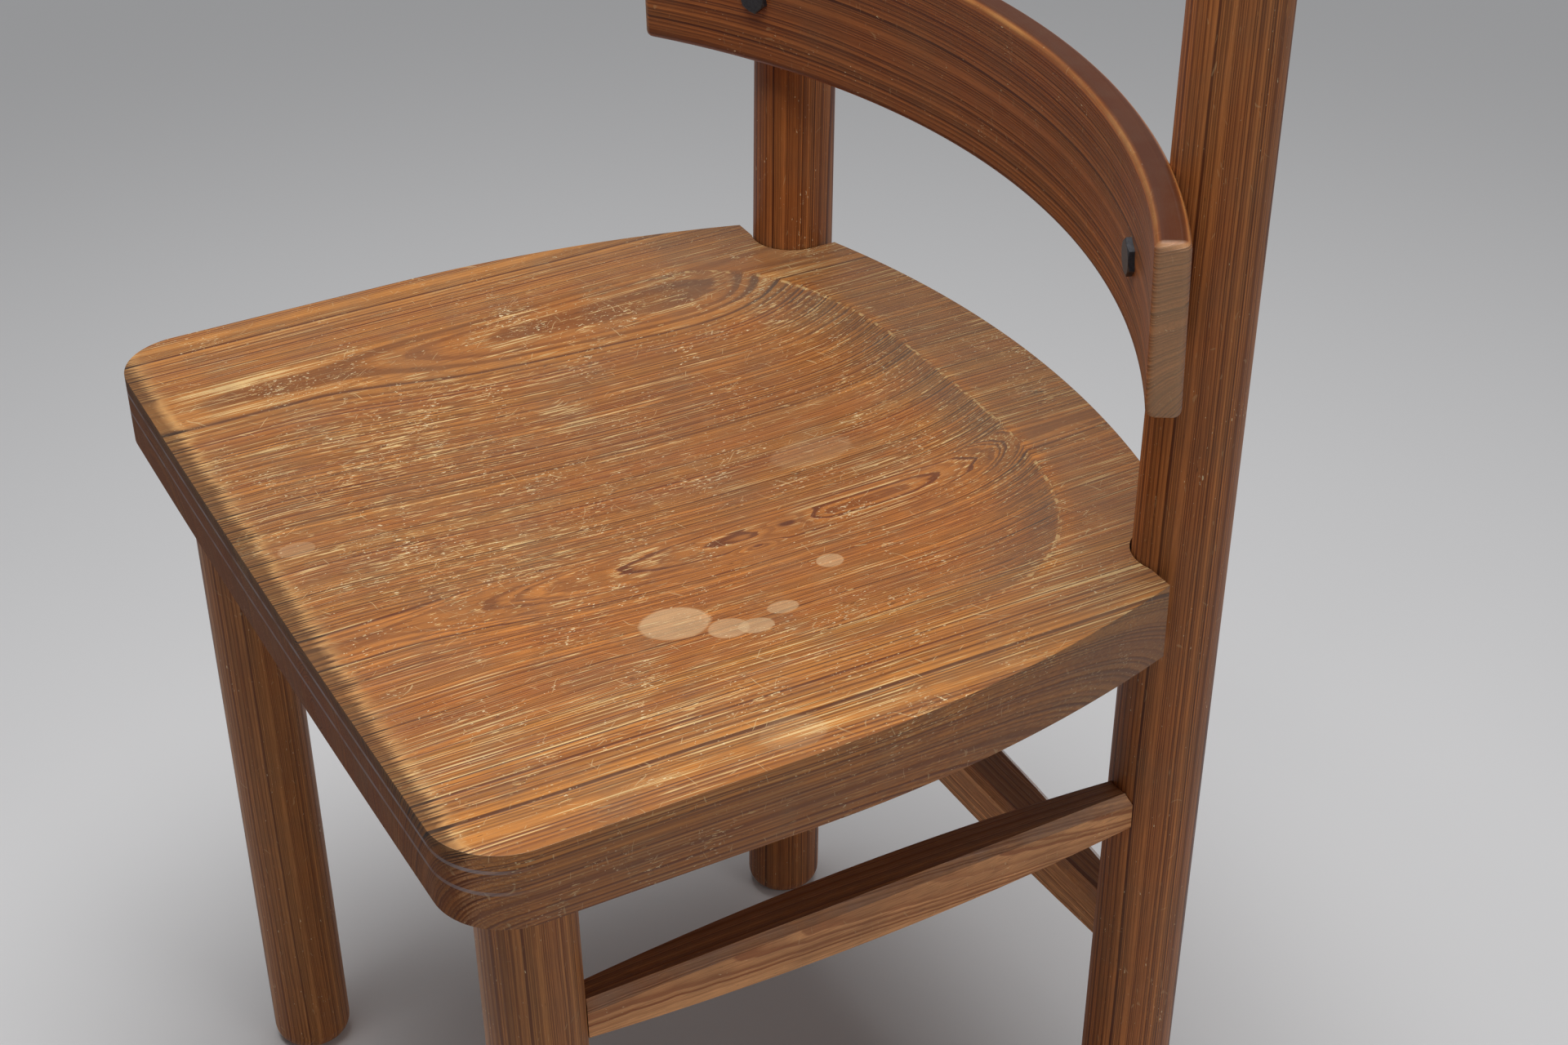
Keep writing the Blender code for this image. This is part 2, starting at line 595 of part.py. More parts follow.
def make_bolts(parts):
    """Coach screws: chamfered hexagon head, plain round shank and a short point."""
    head_radius, shank_radius = BOLT_ACROSS_FLATS / 2, BOLT_SHANK_DIAMETER / 2
    depth = -(RAIL_THICKNESS + BOLT_BITE_IN_POST)
    top = BOLT_HEAD_THICKNESS - BOLT_HEAD_SINK
    rings = [bolt_ring(shank_radius / 4, depth, False),
             bolt_ring(shank_radius, depth + BOLT_POINT_LENGTH, False),
             bolt_ring(shank_radius, -BOLT_HEAD_SINK, False),
             bolt_ring(head_radius, -BOLT_HEAD_SINK, True),
             bolt_ring(head_radius, top - BOLT_HEAD_CHAMFER, True),
             bolt_ring(head_radius - BOLT_HEAD_CHAMFER, top, False)]
    for name, side in SIDES:
        seat, inward = bolt_line(side)
        bolt = loft("rail_bolt_" + name, rings, parts)
        bolt.data.transform((-inward).to_track_quat("Z", "Y").to_matrix().to_4x4())
        bolt.location = seat
        give_material(bolt, *BLACK_STEEL)


def make_dowels(parts):
    for name, side in SIDES:
        in_post, in_seat = dowel_ends(side)
        dowel = cylinder("seat_dowel_" + name, DOWEL_DIAMETER / 2, in_post, in_seat,
                         SMALL_ROUND_SIDES, parts)
        give_material(dowel, *DOWEL_BEECH)


def give_material(obj, colour, roughness):
    """Give an object its own material and shade its rounds smooth."""
    material = bpy.data.materials.new(obj.name)
    material.use_nodes = True
    shader = material.node_tree.nodes["Principled BSDF"]
    shader.inputs["Base Color"].default_value = (*colour, 1)
    shader.inputs["Roughness"].default_value = roughness
    shader.inputs["Metallic"].default_value = 0
    obj.data.materials.clear()
    obj.data.materials.append(material)
    obj.data.shade_smooth()
    obj.data.set_sharp_from_angle(angle=SHARP_ANGLE)


def main():
    for obj in list(bpy.data.objects):
        bpy.data.objects.remove(obj)
    parts = new_collection("pine_chair")
    cutters = new_collection("cutters")
    make_seat(parts, cutters)
    make_front_legs(parts, cutters)
    make_back_posts(parts, cutters)
    make_stretchers(parts, cutters)
    make_rail(parts, cutters)
    make_bolts(parts)
    make_dowels(parts)


main()
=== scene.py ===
"""Worn pine side chair: fine pieces, worn wood finishes, studio floor, lamps and camera."""

import math

import bmesh
import bpy
from mathutils import Matrix, Vector, noise


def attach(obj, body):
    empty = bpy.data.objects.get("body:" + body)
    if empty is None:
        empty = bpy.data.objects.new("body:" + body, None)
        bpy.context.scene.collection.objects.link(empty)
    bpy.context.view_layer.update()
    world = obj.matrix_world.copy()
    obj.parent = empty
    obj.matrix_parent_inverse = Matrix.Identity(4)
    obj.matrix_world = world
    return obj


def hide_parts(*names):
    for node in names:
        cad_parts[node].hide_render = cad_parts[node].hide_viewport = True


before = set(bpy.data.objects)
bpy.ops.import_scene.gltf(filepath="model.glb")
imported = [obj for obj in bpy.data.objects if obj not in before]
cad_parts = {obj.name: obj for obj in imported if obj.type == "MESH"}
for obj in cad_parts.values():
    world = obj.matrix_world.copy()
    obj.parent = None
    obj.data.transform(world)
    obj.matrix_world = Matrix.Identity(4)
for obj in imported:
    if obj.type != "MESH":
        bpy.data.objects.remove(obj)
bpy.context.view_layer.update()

MM = 0.001
SMOOTH_ANGLE = math.radians(38)
FLAT_FACE_ANGLE = math.radians(50)

# Seat
SEAT_WIDTH = 0.4818
SEAT_DEPTH = 0.4144
SEAT_TOP = 0.4535
SEAT_THICKNESS = 0.0376
SEAT_BOTTOM = SEAT_TOP - SEAT_THICKNESS
SEAT_FRONT_BOW = 0.0018
SEAT_CORNER_RADIUS = 0.034
SEAT_STRAIGHT_SIDE = 0.1588
SEAT_SIDE_RADIUS = 0.6228
SEAT_BACK_RADIUS = 0.539
SEAT_TOP_ROUND = 0.0085
SEAT_BACK_ROUND = 0.0050
SEAT_BOTTOM_ROUND = 0.0035
SEAT_FRONT_Y = -SEAT_DEPTH / 2
SEAT_BACK_Y = SEAT_DEPTH / 2
BOARD_JOINTS = (-0.1805, 0.0550, 0.1610)
BOARD_JOINT_GAP = 0.00001
SCOOP_CENTRE_Y = SEAT_BACK_Y - 0.1679
SCOOP_HALF_WIDTH = 0.180
SCOOP_BACK_REACH = 0.118
SCOOP_FRONT_REACH = 0.225
SCOOP_DEPTH = 0.009
SCOOP_SQUARENESS = (2.5, 3.1)
SCOOP_OUTLINE = 2.9
SCOOP_STEEPNESS = (2.0, 4.5)
SCOOP_FADE = (1.6, 1.0)
SCOOP_SHARES = (0.10, 0.22, 0.34, 0.45, 0.55, 0.64, 0.72, 0.79, 0.85, 0.90, 0.94, 0.965, 0.985, 1.0)
SCOOP_SIDES = 224
SCOOP_RAGGEDNESS = 0.011
CUTTER_SPARE = 0.010
NOTCH_GAP = 0.0009
EAR_SETBACK = 0.0014
NOTCH_ROOM = 0.12

# Legs and posts
LEG_RADIUS = 0.022
LEG_X = 0.1963
LEG_Y = -0.1638
POST_X = 0.1842
POST_Y = 0.1493
POST_HEIGHT = 0.800
POST_LEAN = math.tan(math.radians(2.319))
POST_SPLAY = math.tan(math.radians(0.335))
FOOT_ROUND = 0.011
POST_TOP_ROUND = 0.010
ROUND_SIDES = 96

# Stretchers: width, height and chamfer at the ends and in the middle
SIDE_STRETCHER_END = (0.0182, 0.0204, 0.0048)
SIDE_STRETCHER_MID = (0.0264, 0.0292, 0.0037)
SIDE_STRETCHER_FRONT_Z = 0.3197
SIDE_STRETCHER_BACK_Z = 0.3157
BACK_STRETCHER_END = (0.0188, 0.0264, 0.0044)
BACK_STRETCHER_MID = (0.0276, 0.0318, 0.0037)
BACK_STRETCHER_LEFT_Z = 0.2243
BACK_STRETCHER_RIGHT_Z = 0.2296
STRETCHER_CHATTER = 0.00025
STRETCHER_ARRIS = 0.0007
SCRIBE_GAP = 0.0004
SCRIBE_LOW = 0.1
SCRIBE_HIGH = 0.42
STRETCHER_STATIONS = 48

# Rail and bolts
RAIL_BOTTOM_Z = 0.5636
RAIL_HEIGHT = 0.0805
RAIL_THICKNESS = 0.015
RAIL_INNER_RADIUS = 0.4312
RAIL_HALF_ANGLE = math.radians(33.5)
RAIL_CENTRE_Y = -0.2530
RAIL_EDGE_ROUND = 0.004
BOLT_Z = RAIL_BOTTOM_Z + 0.0376
BOLT_ACROSS_FLATS = 0.015
BOLT_HEAD_TOP = 0.0030
BOLT_HEAD_SINK = 0.0015
BOLT_CONE_BASE = 2.2
BOLT_CONE_TOP = 0.97
BOLT_CONE_SPARE = 0.001
BOLT_HEAD_TURN = math.radians(11)
BOLT_ARRIS = 0.00025

SIDES = (("left", 1), ("right", -1))

# Painted highlights of two small ledges round the seat's front: height and strength
PAINTED_LEDGE_LINES = ((0.4448, 0.75), (0.4340, 0.6))

# Grain: how far it wanders sideways, and the lacquer over it
GRAIN_WANDER = 0.005
LACQUER_ROUGHNESS = 0.38

# Tones of the wood, its wear and its dirt, and of painted highlights and shade
RED_BAND = "#94481F"
AGED_WOOD = "#8A6748"
PALE_CHIP = "#F2DDB0"
DARK_CHIP = "#3A2212"
HAIR_SCRATCH = "#E6C894"
# darker upper faces: dust, and painted shade on the stretchers' tops under the seat
DUSTY_SHADED_TOP = "#482310"
RAIL_END = "#CBA681"
GRIME = "#5E4A3A"
RUBBED_FRONT = "#E0B070"
FRONT_DIRT = "#B8A89C"
BLACKEST_DIRT = "#2E2620"
LOWER_FRONT = "#82492D"
# bare wood and a painted highlight on the seat's near front corner
BARE_CORNER_AND_HIGHLIGHT = "#F0DDBE"
# painted highlight of the two small ledges on the seat's front
LEDGE_HIGHLIGHT_TONE = "#9A9092"
# painted shade on the scoop's back slope
SLOPE_SHADE = "#54463B"
LEDGE_DIRT = "#6E5642"
CHIPPED_CREST = "#DDBB80"
SMUDGE = "#AA8C66"
DRIED_DROP = "#D9B68A"

# Studio
FLOOR_RADIUS = 7
FLOOR_DROP = 0.0002
FLOOR_FADE = (1.2, 3.0)
BACKDROP_COLOUR = "#F4F5F8"
BACKDROP_STRENGTH = 0.40
WORLD_LIGHT = 0.12

# Lamps: name, place, what they point at, size and power in watts
LAMPS = (
    ("overhead_softbox", (0.12, -0.08, 2.15), (0.1, -0.05, 0), (1.2, 1.2), 35),
    ("side_fill", (2.4, 1.0, 1.3), (0, 0, 0.3), (1.2, 1.2), 7.5),
)

# The photograph's viewpoint: place, azimuth, elevation and roll in degrees, and lens in millimetres
CAMERA_PLACE = (1.01225, -0.45552, 1.11704)
CAMERA_ANGLES = (62.915, 32.322, -1.457)
CAMERA_LENS = 61.677

# Dried drops on the seat: place, half widths and strength
STAINS = (
    (0.1230, -0.0560, 0.0135, 0.0165, 0.50), (0.1385, -0.0370, 0.0085, 0.0095, 0.45),
    (0.1425, -0.0255, 0.0065, 0.0085, 0.50), (0.1340, -0.0080, 0.0055, 0.0075, 0.40),
    (0.1080, 0.0300, 0.0060, 0.0065, 0.40), (0.2230, -0.0500, 0.0110, 0.0150, 0.12),
    (-0.0120, -0.1827, 0.0060, 0.0090, 0.22), (0.0150, 0.0700, 0.0120, 0.0220, 0.12),
)


def finished(name, bm, smooth=True):
    """The mesh object of a finished bmesh, at the origin, unturned and unscaled."""
    mesh = bpy.data.meshes.new(name)
    bm.to_mesh(mesh)
    bm.free()
    obj = bpy.data.objects.new(name, mesh)
    bpy.context.scene.collection.objects.link(obj)
    if smooth:
        mesh.shade_smooth()
        mesh.set_sharp_from_angle(angle=SMOOTH_ANGLE)
    return obj


def settle(obj):
    """Keep an object's mesh as its modifiers leave it."""
    depsgraph = bpy.context.evaluated_depsgraph_get()
    mesh = bpy.data.meshes.new_from_object(obj.evaluated_get(depsgraph))
    obj.modifiers.clear()
    obj.data = mesh
    mesh.name = obj.name


def cut(obj, cutter, operation="DIFFERENCE"):
    """Cut one object with another and drop the cutter."""
    boolean = obj.modifiers.new("cut", "BOOLEAN")
    boolean.operation = operation
    boolean.solver = "EXACT"
    boolean.object = cutter
    settle(obj)
    bpy.data.objects.remove(cutter)


def round_arrises(obj, width, segments, angle=25):
    """Round every sharp edge and keep the flats flat in the shading."""
    bevel = obj.modifiers.new("rounding", "BEVEL")
    bevel.width = width
    bevel.segments = segments
    bevel.limit_method = "ANGLE"
    bevel.angle_limit = math.radians(angle)
    bevel.harden_normals = False
    settle(obj)
    flatten_shading(obj)


def flatten_shading(obj):
    """Shade smooth over the rounds while the broad faces keep their own direction."""
    obj.data.shade_smooth()
    obj.data.set_sharp_from_angle(angle=FLAT_FACE_ANGLE)
    weighted = obj.modifiers.new("flat faces", "WEIGHTED_NORMAL")
    weighted.keep_sharp = True
    weighted.weight = 80


def bar(name, radius, low, high, low_round=0, high_round=0, sides=ROUND_SIDES):
    """Upright round bar on the Z axis with rounded rims."""
    bm = bmesh.new()
    middle = Matrix.Translation((0, 0, (low + high) / 2))
    bmesh.ops.create_cone(bm, cap_ends=True, segments=sides, radius1=radius, radius2=radius,
                          depth=high - low, matrix=middle)
    for height, rounding in ((low, low_round), (high, high_round)):
        if rounding:
            rim = [e for e in bm.edges if all(abs(v.co.z - height) < MM / 10 for v in e.verts)]
            bmesh.ops.bevel(bm, geom=rim, offset=rounding, offset_type="OFFSET", segments=7,
                            profile=0.5, affect="EDGES", material=-1)
    return finished(name, bm)


def post_matrix(side):
    """Stands an upright body on a post's leaning line, its ends kept level."""
    matrix = Matrix.Identity(4)
    matrix[0][2], matrix[1][2] = side * POST_SPLAY, POST_LEAN
    matrix[0][3], matrix[1][3] = side * POST_X, POST_Y
    return matrix


def post_point(side, z):
    """Point of a post's axis at a height."""
    return post_matrix(side) @ Vector((0, 0, z))


def turned_chain(bm, start, centre, degrees, steps):
    """Chain of edges that one new point leaves as it turns about an upright axis."""
    point = bm.verts.new(start)
    bmesh.ops.spin(bm, geom=[point], cent=centre, axis=(0, 0, 1), angle=math.radians(degrees),
                   steps=steps, use_duplicate=False)


def seat_crossing():
    """Plan point where the arc of the left side meets the arc of the back edge."""
    side = Vector((SEAT_WIDTH / 2 - SEAT_SIDE_RADIUS, SEAT_FRONT_Y + SEAT_STRAIGHT_SIDE))
    back = Vector((0, SEAT_BACK_Y - SEAT_BACK_RADIUS))
    between = back - side
    length = between.length
    along = (SEAT_SIDE_RADIUS ** 2 - SEAT_BACK_RADIUS ** 2 + length ** 2) / (2 * length)
    across = math.sqrt(SEAT_SIDE_RADIUS ** 2 - along ** 2)
    direction = between.normalized()
    return side + direction * along + Vector((-direction.y, direction.x)) * across


def seat_plank():
    """The whole seat as one plank: outline of turned arcs, mirrored, thickened and rounded."""
    half = SEAT_WIDTH / 2
    crossing = seat_crossing()
    bm = bmesh.new()
    bow_radius = half ** 2 / (2 * SEAT_FRONT_BOW)
    corner_x = half - SEAT_CORNER_RADIUS
    bow = math.degrees(corner_x / bow_radius)
    front = (0, SEAT_FRONT_Y, SEAT_TOP)
    turned_chain(bm, front, (0, SEAT_FRONT_Y + bow_radius, SEAT_TOP), bow, 12)
    corner_y = SEAT_FRONT_Y + corner_x ** 2 / (2 * bow_radius)
    turned_chain(bm, (corner_x, corner_y, SEAT_TOP),
                 (corner_x, corner_y + SEAT_CORNER_RADIUS, SEAT_TOP), 90, 32)
    side_centre = Vector((half - SEAT_SIDE_RADIUS, SEAT_FRONT_Y + SEAT_STRAIGHT_SIDE, SEAT_TOP))
    side_angle = math.degrees(math.asin((crossing.y - side_centre.y) / SEAT_SIDE_RADIUS))
    turned_chain(bm, (half, side_centre.y, SEAT_TOP), side_centre, side_angle, 40)
    back_angle = math.degrees(math.asin(crossing.x / SEAT_BACK_RADIUS))
    turned_chain(bm, (crossing.x, crossing.y, SEAT_TOP),
                 (0, SEAT_BACK_Y - SEAT_BACK_RADIUS, SEAT_TOP), back_angle, 48)
    bmesh.ops.remove_doubles(bm, verts=bm.verts, dist=0.2 * MM)
    ends = [v for v in bm.verts if len(v.link_edges) == 1 and v.co.x > MM]
    bmesh.ops.contextual_create(bm, geom=ends)
    everything = bm.verts[:] + bm.edges[:]
    bmesh.ops.mirror(bm, geom=everything, matrix=Matrix.Identity(4), merge_dist=0.1 * MM, axis="X")
    bmesh.ops.contextual_create(bm, geom=bm.edges[:])
    grown = bmesh.ops.extrude_face_region(bm, geom=bm.faces[:])
    bmesh.ops.translate(bm, vec=(0, 0, -SEAT_THICKNESS),
                        verts=[g for g in grown["geom"] if isinstance(g, bmesh.types.BMVert)])
    bmesh.ops.recalc_face_normals(bm, faces=bm.faces)
    plank = finished("seat_plank", bm)
    weights = plank.data.attributes.new("bevel_weight_edge", "FLOAT", "EDGE")
    for edge in plank.data.edges:
        first, second = (plank.data.vertices[i].co for i in edge.vertices)
        middle = (first + second) / 2
        if abs(first.z - second.z) > MM:
            continue
        if middle.z < SEAT_TOP - MM:
            weights.data[edge.index].value = SEAT_BOTTOM_ROUND / SEAT_TOP_ROUND
        elif middle.y > crossing.y and abs(middle.x) < POST_X - 12 * MM:
            weights.data[edge.index].value = SEAT_BACK_ROUND / SEAT_TOP_ROUND
        else:
            weights.data[edge.index].value = 1
    bevel = plank.modifiers.new("edge rounding", "BEVEL")
    bevel.limit_method = "WEIGHT"
    bevel.width = SEAT_TOP_ROUND
    bevel.segments = 8
    settle(plank)
    return plank


def scoop_point(angle, share, lift):
    """Point of the scooped surface: crisp and a little ragged behind, fading in front."""
    cosine, sine = math.cos(angle), math.sin(angle)
    back = (1 + sine) / 2
    low, high = SCOOP_SQUARENESS
    power = 2 / (low + (high - low) * back)
    x = SCOOP_HALF_WIDTH * math.copysign(abs(cosine) ** power, cosine)
    reach = SCOOP_BACK_REACH if sine > 0 else SCOOP_FRONT_REACH
    y = reach * math.copysign(abs(sine) ** power, sine)
    steepness = SCOOP_STEEPNESS[0] + (SCOOP_STEEPNESS[1] - SCOOP_STEEPNESS[0]) * back
    fade = SCOOP_FADE[0] + (SCOOP_FADE[1] - SCOOP_FADE[0]) * back
    depth = SCOOP_DEPTH * (1 - min(share, 1) ** steepness) ** fade
    ragged = 1 + SCOOP_RAGGEDNESS * back * noise.noise(Vector((x, y, 0)) * 90) * min(share, 1) ** 6
    return Vector((share * x * ragged, SCOOP_CENTRE_Y + share * y * ragged,
                   SEAT_TOP - depth + lift))


def scoop_cutter():
    """Body whose underside is the scooped surface."""
    bm = bmesh.new()
    shares = SCOOP_SHARES + (1.02, 1.02)
    rows = len(shares) - 1
    sheet = bmesh.ops.create_grid(bm, x_segments=SCOOP_SIDES, y_segments=rows, size=1)
    for vert in sheet["verts"]:
        row = round((vert.co.y + 1) / 2 * rows)
        lift = 0 if row < rows - 1 else (0.4 * MM if row == rows - 1 else CUTTER_SPARE)
        vert.co = scoop_point(math.pi * (vert.co.x + 1), shares[row], lift)
    bmesh.ops.remove_doubles(bm, verts=bm.verts, dist=0.01 * MM)
    bmesh.ops.holes_fill(bm, edges=bm.edges, sides=0)
    bmesh.ops.recalc_face_normals(bm, faces=bm.faces)
    return finished("scoop_cutter", bm)


def notch_cutter(side):
    """Room for one post at a back corner of the seat, open outward past the ear."""
    low, high = SEAT_BOTTOM - CUTTER_SPARE, SEAT_TOP + CUTTER_SPARE
    radius = LEG_RADIUS + NOTCH_GAP
    cutter = bar("notch", radius, low, high)
    ear = radius - EAR_SETBACK
    bm = bmesh.new()
    bmesh.ops.create_cube(bm, size=1)
    bmesh.ops.scale(bm, vec=(NOTCH_ROOM, NOTCH_ROOM, high - low), verts=bm.verts)
    bmesh.ops.translate(bm, vec=(NOTCH_ROOM / 2 * side, NOTCH_ROOM / 2 - ear, (low + high) / 2),
                        verts=bm.verts)
    cut(cutter, finished("ear_room", bm, smooth=False), "UNION")
    bm = bmesh.new()
    bmesh.ops.create_cube(bm, size=1)
    bmesh.ops.scale(bm, vec=(2 * radius, NOTCH_ROOM, high - low), verts=bm.verts)
    bmesh.ops.translate(bm, vec=(0, NOTCH_ROOM / 2, (low + high) / 2), verts=bm.verts)
    cut(cutter, finished("back_room", bm, smooth=False), "UNION")
    cutter.data.transform(post_matrix(side))
    return cutter


def seat_boards():
    """The four glued boards, parted from one shaped plank."""
    plank = seat_plank()
    cut(plank, scoop_cutter())
    for _, side in SIDES:
        cut(plank, notch_cutter(side))
    limits = (-1,) + BOARD_JOINTS + (1,)
    boards = []
    for name, low, high in zip(("right", "middle", "left_inner", "left"), limits, limits[1:]):
        bm = bmesh.new()
        bm.from_mesh(plank.data)
        for place, way in ((low + BOARD_JOINT_GAP / 2, -1), (high - BOARD_JOINT_GAP / 2, 1)):
            if abs(place) > 0.5:
                continue
            halved = bmesh.ops.bisect_plane(bm, geom=bm.verts[:] + bm.edges[:] + bm.faces[:],
                                            dist=0.001 * MM, plane_co=(place, 0, 0),
                                            plane_no=(way, 0, 0), clear_outer=True)
            rim = [g for g in halved["geom_cut"] if isinstance(g, bmesh.types.BMEdge)]
            bmesh.ops.contextual_create(bm, geom=rim)
        bmesh.ops.recalc_face_normals(bm, faces=bm.faces)
        board = finished("pine_seat_board_" + name, bm)
        flatten_shading(board)
        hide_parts("seat_board_" + name)
        boards.append(board)
    bpy.data.objects.remove(plank)
    return boards


def stretcher(name, start, end, end_size, mid_size, hugged):
    """Swelling bar with chamfered corners between two round legs, scribed to fit them."""
    direction = (end - start).normalized()
    across = direction.cross(Vector((0, 0, 1))).normalized()
    upward = across.cross(direction)
    bm = bmesh.new()
    sheet = bmesh.ops.create_grid(bm, x_segments=8, y_segments=STRETCHER_STATIONS, size=1)
    for vert in sheet["verts"]:
        corner = round((vert.co.x + 1) * 4) % 8
        share = (vert.co.y + 1) / 2
        swell = 1 - (2 * share - 1) ** 2
        width, height, chamfer = (a + (b - a) * swell for a, b in zip(end_size, mid_size))
        quarter, second = divmod(corner, 2)
        across_sign = (1, -1, -1, 1)[quarter]
        up_sign = (1, 1, -1, -1)[quarter]
        level_first = across_sign != up_sign
        level = bool(second) != level_first
        x = across_sign * (width / 2 - (chamfer if level else 0))
        z = up_sign * (height / 2 - (0 if level else chamfer))
        chatter = STRETCHER_CHATTER * noise.noise(Vector((share * 46, corner, 0.5)))
        vert.co = start.lerp(end, share) + across * (x + chatter) + upward * (z + chatter)
    bmesh.ops.remove_doubles(bm, verts=bm.verts, dist=0.001 * MM)
    bmesh.ops.holes_fill(bm, edges=bm.edges, sides=0)
    bmesh.ops.recalc_face_normals(bm, faces=bm.faces)
    obj = finished("pine_" + name, bm)
    for matrix in hugged:
        scribe = bar("scribe", LEG_RADIUS + SCRIBE_GAP, SCRIBE_LOW, SCRIBE_HIGH)
        scribe.data.transform(matrix)
        cut(obj, scribe)
    round_arrises(obj, STRETCHER_ARRIS, 2, 20)
    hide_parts(name)
    return obj


def leg_matrix(side):
    """Stands an upright body on a front leg's axis."""
    return Matrix.Translation((side * LEG_X, LEG_Y, 0))


def legs_and_posts():
    """The round front legs and the raked back posts, from the floor up."""
    pieces = []
    for name, side in SIDES:
        leg = bar("pine_front_leg_" + name, LEG_RADIUS, 0, SEAT_BOTTOM, FOOT_ROUND)
        leg.data.transform(leg_matrix(side))
        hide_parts("front_leg_" + name)
        post = bar("pine_back_post_" + name, LEG_RADIUS, 0, POST_HEIGHT, FOOT_ROUND, POST_TOP_ROUND)
        post.data.transform(post_matrix(side))
        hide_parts("back_post_" + name)
        pieces += [leg, post]
    return pieces


def stretchers():
    """Two side stretchers between leg and post, and one between the posts."""
    pieces = []
    for name, side in SIDES:
        start = leg_matrix(side) @ Vector((0, 0, SIDE_STRETCHER_FRONT_Z))
        hugged = (leg_matrix(side), post_matrix(side))
        end = post_point(side, SIDE_STRETCHER_BACK_Z)
        pieces.append(stretcher("side_stretcher_" + name, start, end, SIDE_STRETCHER_END,
                                SIDE_STRETCHER_MID, hugged))
    hugged = (post_matrix(-1), post_matrix(1))
    pieces.append(stretcher("back_stretcher", post_point(-1, BACK_STRETCHER_RIGHT_Z),
                            post_point(1, BACK_STRETCHER_LEFT_Z), BACK_STRETCHER_END,
                            BACK_STRETCHER_MID, hugged))
    return pieces


def rail():
    """Curved board: one upright section spun about the middle of the rail's arc."""
    bm = bmesh.new()
    inner, outer = RAIL_INNER_RADIUS, RAIL_INNER_RADIUS + RAIL_THICKNESS
    low, high = RAIL_BOTTOM_Z, RAIL_BOTTOM_Z + RAIL_HEIGHT
    corners = [bm.verts.new((reach, 0, z))
               for reach, z in ((inner, low), (outer, low), (outer, high), (inner, high))]
    section = bmesh.ops.contextual_create(bm, geom=corners)["faces"]
    bmesh.ops.spin(bm, geom=section + bm.edges[:] + bm.verts[:], cent=(0, 0, 0), axis=(0, 0, 1),
                   angle=2 * RAIL_HALF_ANGLE, steps=72, use_duplicate=False)
    turn = Matrix.Rotation(math.pi / 2 - RAIL_HALF_ANGLE, 4, "Z")
    bmesh.ops.transform(bm, matrix=Matrix.Translation((0, RAIL_CENTRE_Y, 0)) @ turn, verts=bm.verts)
    bmesh.ops.recalc_face_normals(bm, faces=bm.faces)
    obj = finished("pine_back_rail", bm)
    round_arrises(obj, RAIL_EDGE_ROUND, 6)
    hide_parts("back_rail")
    return obj


def bolts():
    """Hexagon heads, turned to a shallow cone at their rim."""
    pieces = []
    for name, side in SIDES:
        post = post_point(side, BOLT_Z)
        centre = Vector((0, RAIL_CENTRE_Y, BOLT_Z))
        inward = (post - centre).normalized()
        bm = bmesh.new()
        corner = BOLT_ACROSS_FLATS / math.sqrt(3)
        low, high = -BOLT_HEAD_SINK, BOLT_HEAD_TOP
        bmesh.ops.create_cone(bm, cap_ends=True, segments=6, radius1=corner, radius2=corner,
                              depth=high - low, matrix=Matrix.Translation((0, 0, (low + high) / 2)))
        head = finished("steel_bolt_" + name, bm)
        bm = bmesh.new()
        bmesh.ops.create_cone(bm, cap_ends=True, segments=64, radius1=corner * BOLT_CONE_BASE,
                              radius2=BOLT_ACROSS_FLATS / 2 * BOLT_CONE_TOP,
                              depth=high - low + BOLT_CONE_SPARE,
                              matrix=Matrix.Translation((0, 0, (low + high - BOLT_CONE_SPARE) / 2)))
        cut(head, finished("chamfer", bm), "INTERSECT")
        turn = Matrix.Rotation(BOLT_HEAD_TURN, 4, "Z")
        place = (-inward).to_track_quat("Z", "Y").to_matrix().to_4x4()
        head.data.transform(Matrix.Translation(centre + inward * RAIL_INNER_RADIUS) @ place @ turn)
        round_arrises(head, BOLT_ARRIS, 2)
        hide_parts("rail_bolt_" + name)
        pieces.append(head)
    return pieces


def linear(colour):
    """Linear RGBA of an opaque sRGB hex colour."""
    channels = [int(colour[i:i + 2], 16) / 255 for i in (1, 3, 5)]
    light = [c / 12.92 if c <= 0.04045 else ((c + 0.055) / 1.055) ** 2.4 for c in channels]
    return (*light, 1)


def adder(tree):
    """The function that adds a node to a tree with its settings, values and links."""

    def add(kind, inputs=None, output=0, **settings):
        """Add one node and return one of its outputs; a socket given as a value is linked."""
        new = tree.nodes.new("ShaderNode" + kind)
        for name, value in settings.items():
            setattr(new, name, value)
        for key, value in (inputs or {}).items():
            if isinstance(value, bpy.types.NodeSocket):
                tree.links.new(value, new.inputs[key])
            elif isinstance(value, str):
                new.inputs[key].default_value = linear(value)
            else:
                new.inputs[key].default_value = value
        return new.outputs[output] if new.outputs else None
    return add


def new_material(name):
    """Material with an empty node tree."""
    material = bpy.data.materials.new(name)
    material.use_nodes = True
    material.node_tree.nodes.clear()
    return material


def fibres(add, grain, width, length, seed, detail=2.0):
    """Noise drawn out along the grain, in marks of this width and length in millimetres."""
    stretched = add("Mapping", {0: grain, 1: (seed, seed * 2, seed * 3),
                                3: (1 / (width * MM), 1 / (width * MM), 1 / (length * MM))})
    return add("TexNoise", {0: stretched, "Scale": 1.0, "Detail": detail, "Roughness": 0.55})


def unrolled(add, place):
    """Place on the bent rail as if it were straight: across, up, and along its arc."""
    x, y, z = add("SeparateXYZ", {0: place}).node.outputs
    y = add("Math", {0: y, 1: RAIL_CENTRE_Y}, operation="SUBTRACT")
    flat = add("CombineXYZ", {0: x, 1: y})
    reach = add("VectorMath", {0: flat}, "Value", operation="LENGTH")
    turn = add("Math", {0: x, 1: y}, operation="ARCTAN2")
    along = add("Math", {0: turn, 1: RAIL_INNER_RADIUS}, operation="MULTIPLY")
    return add("CombineXYZ", {0: reach, 1: z, 2: along})


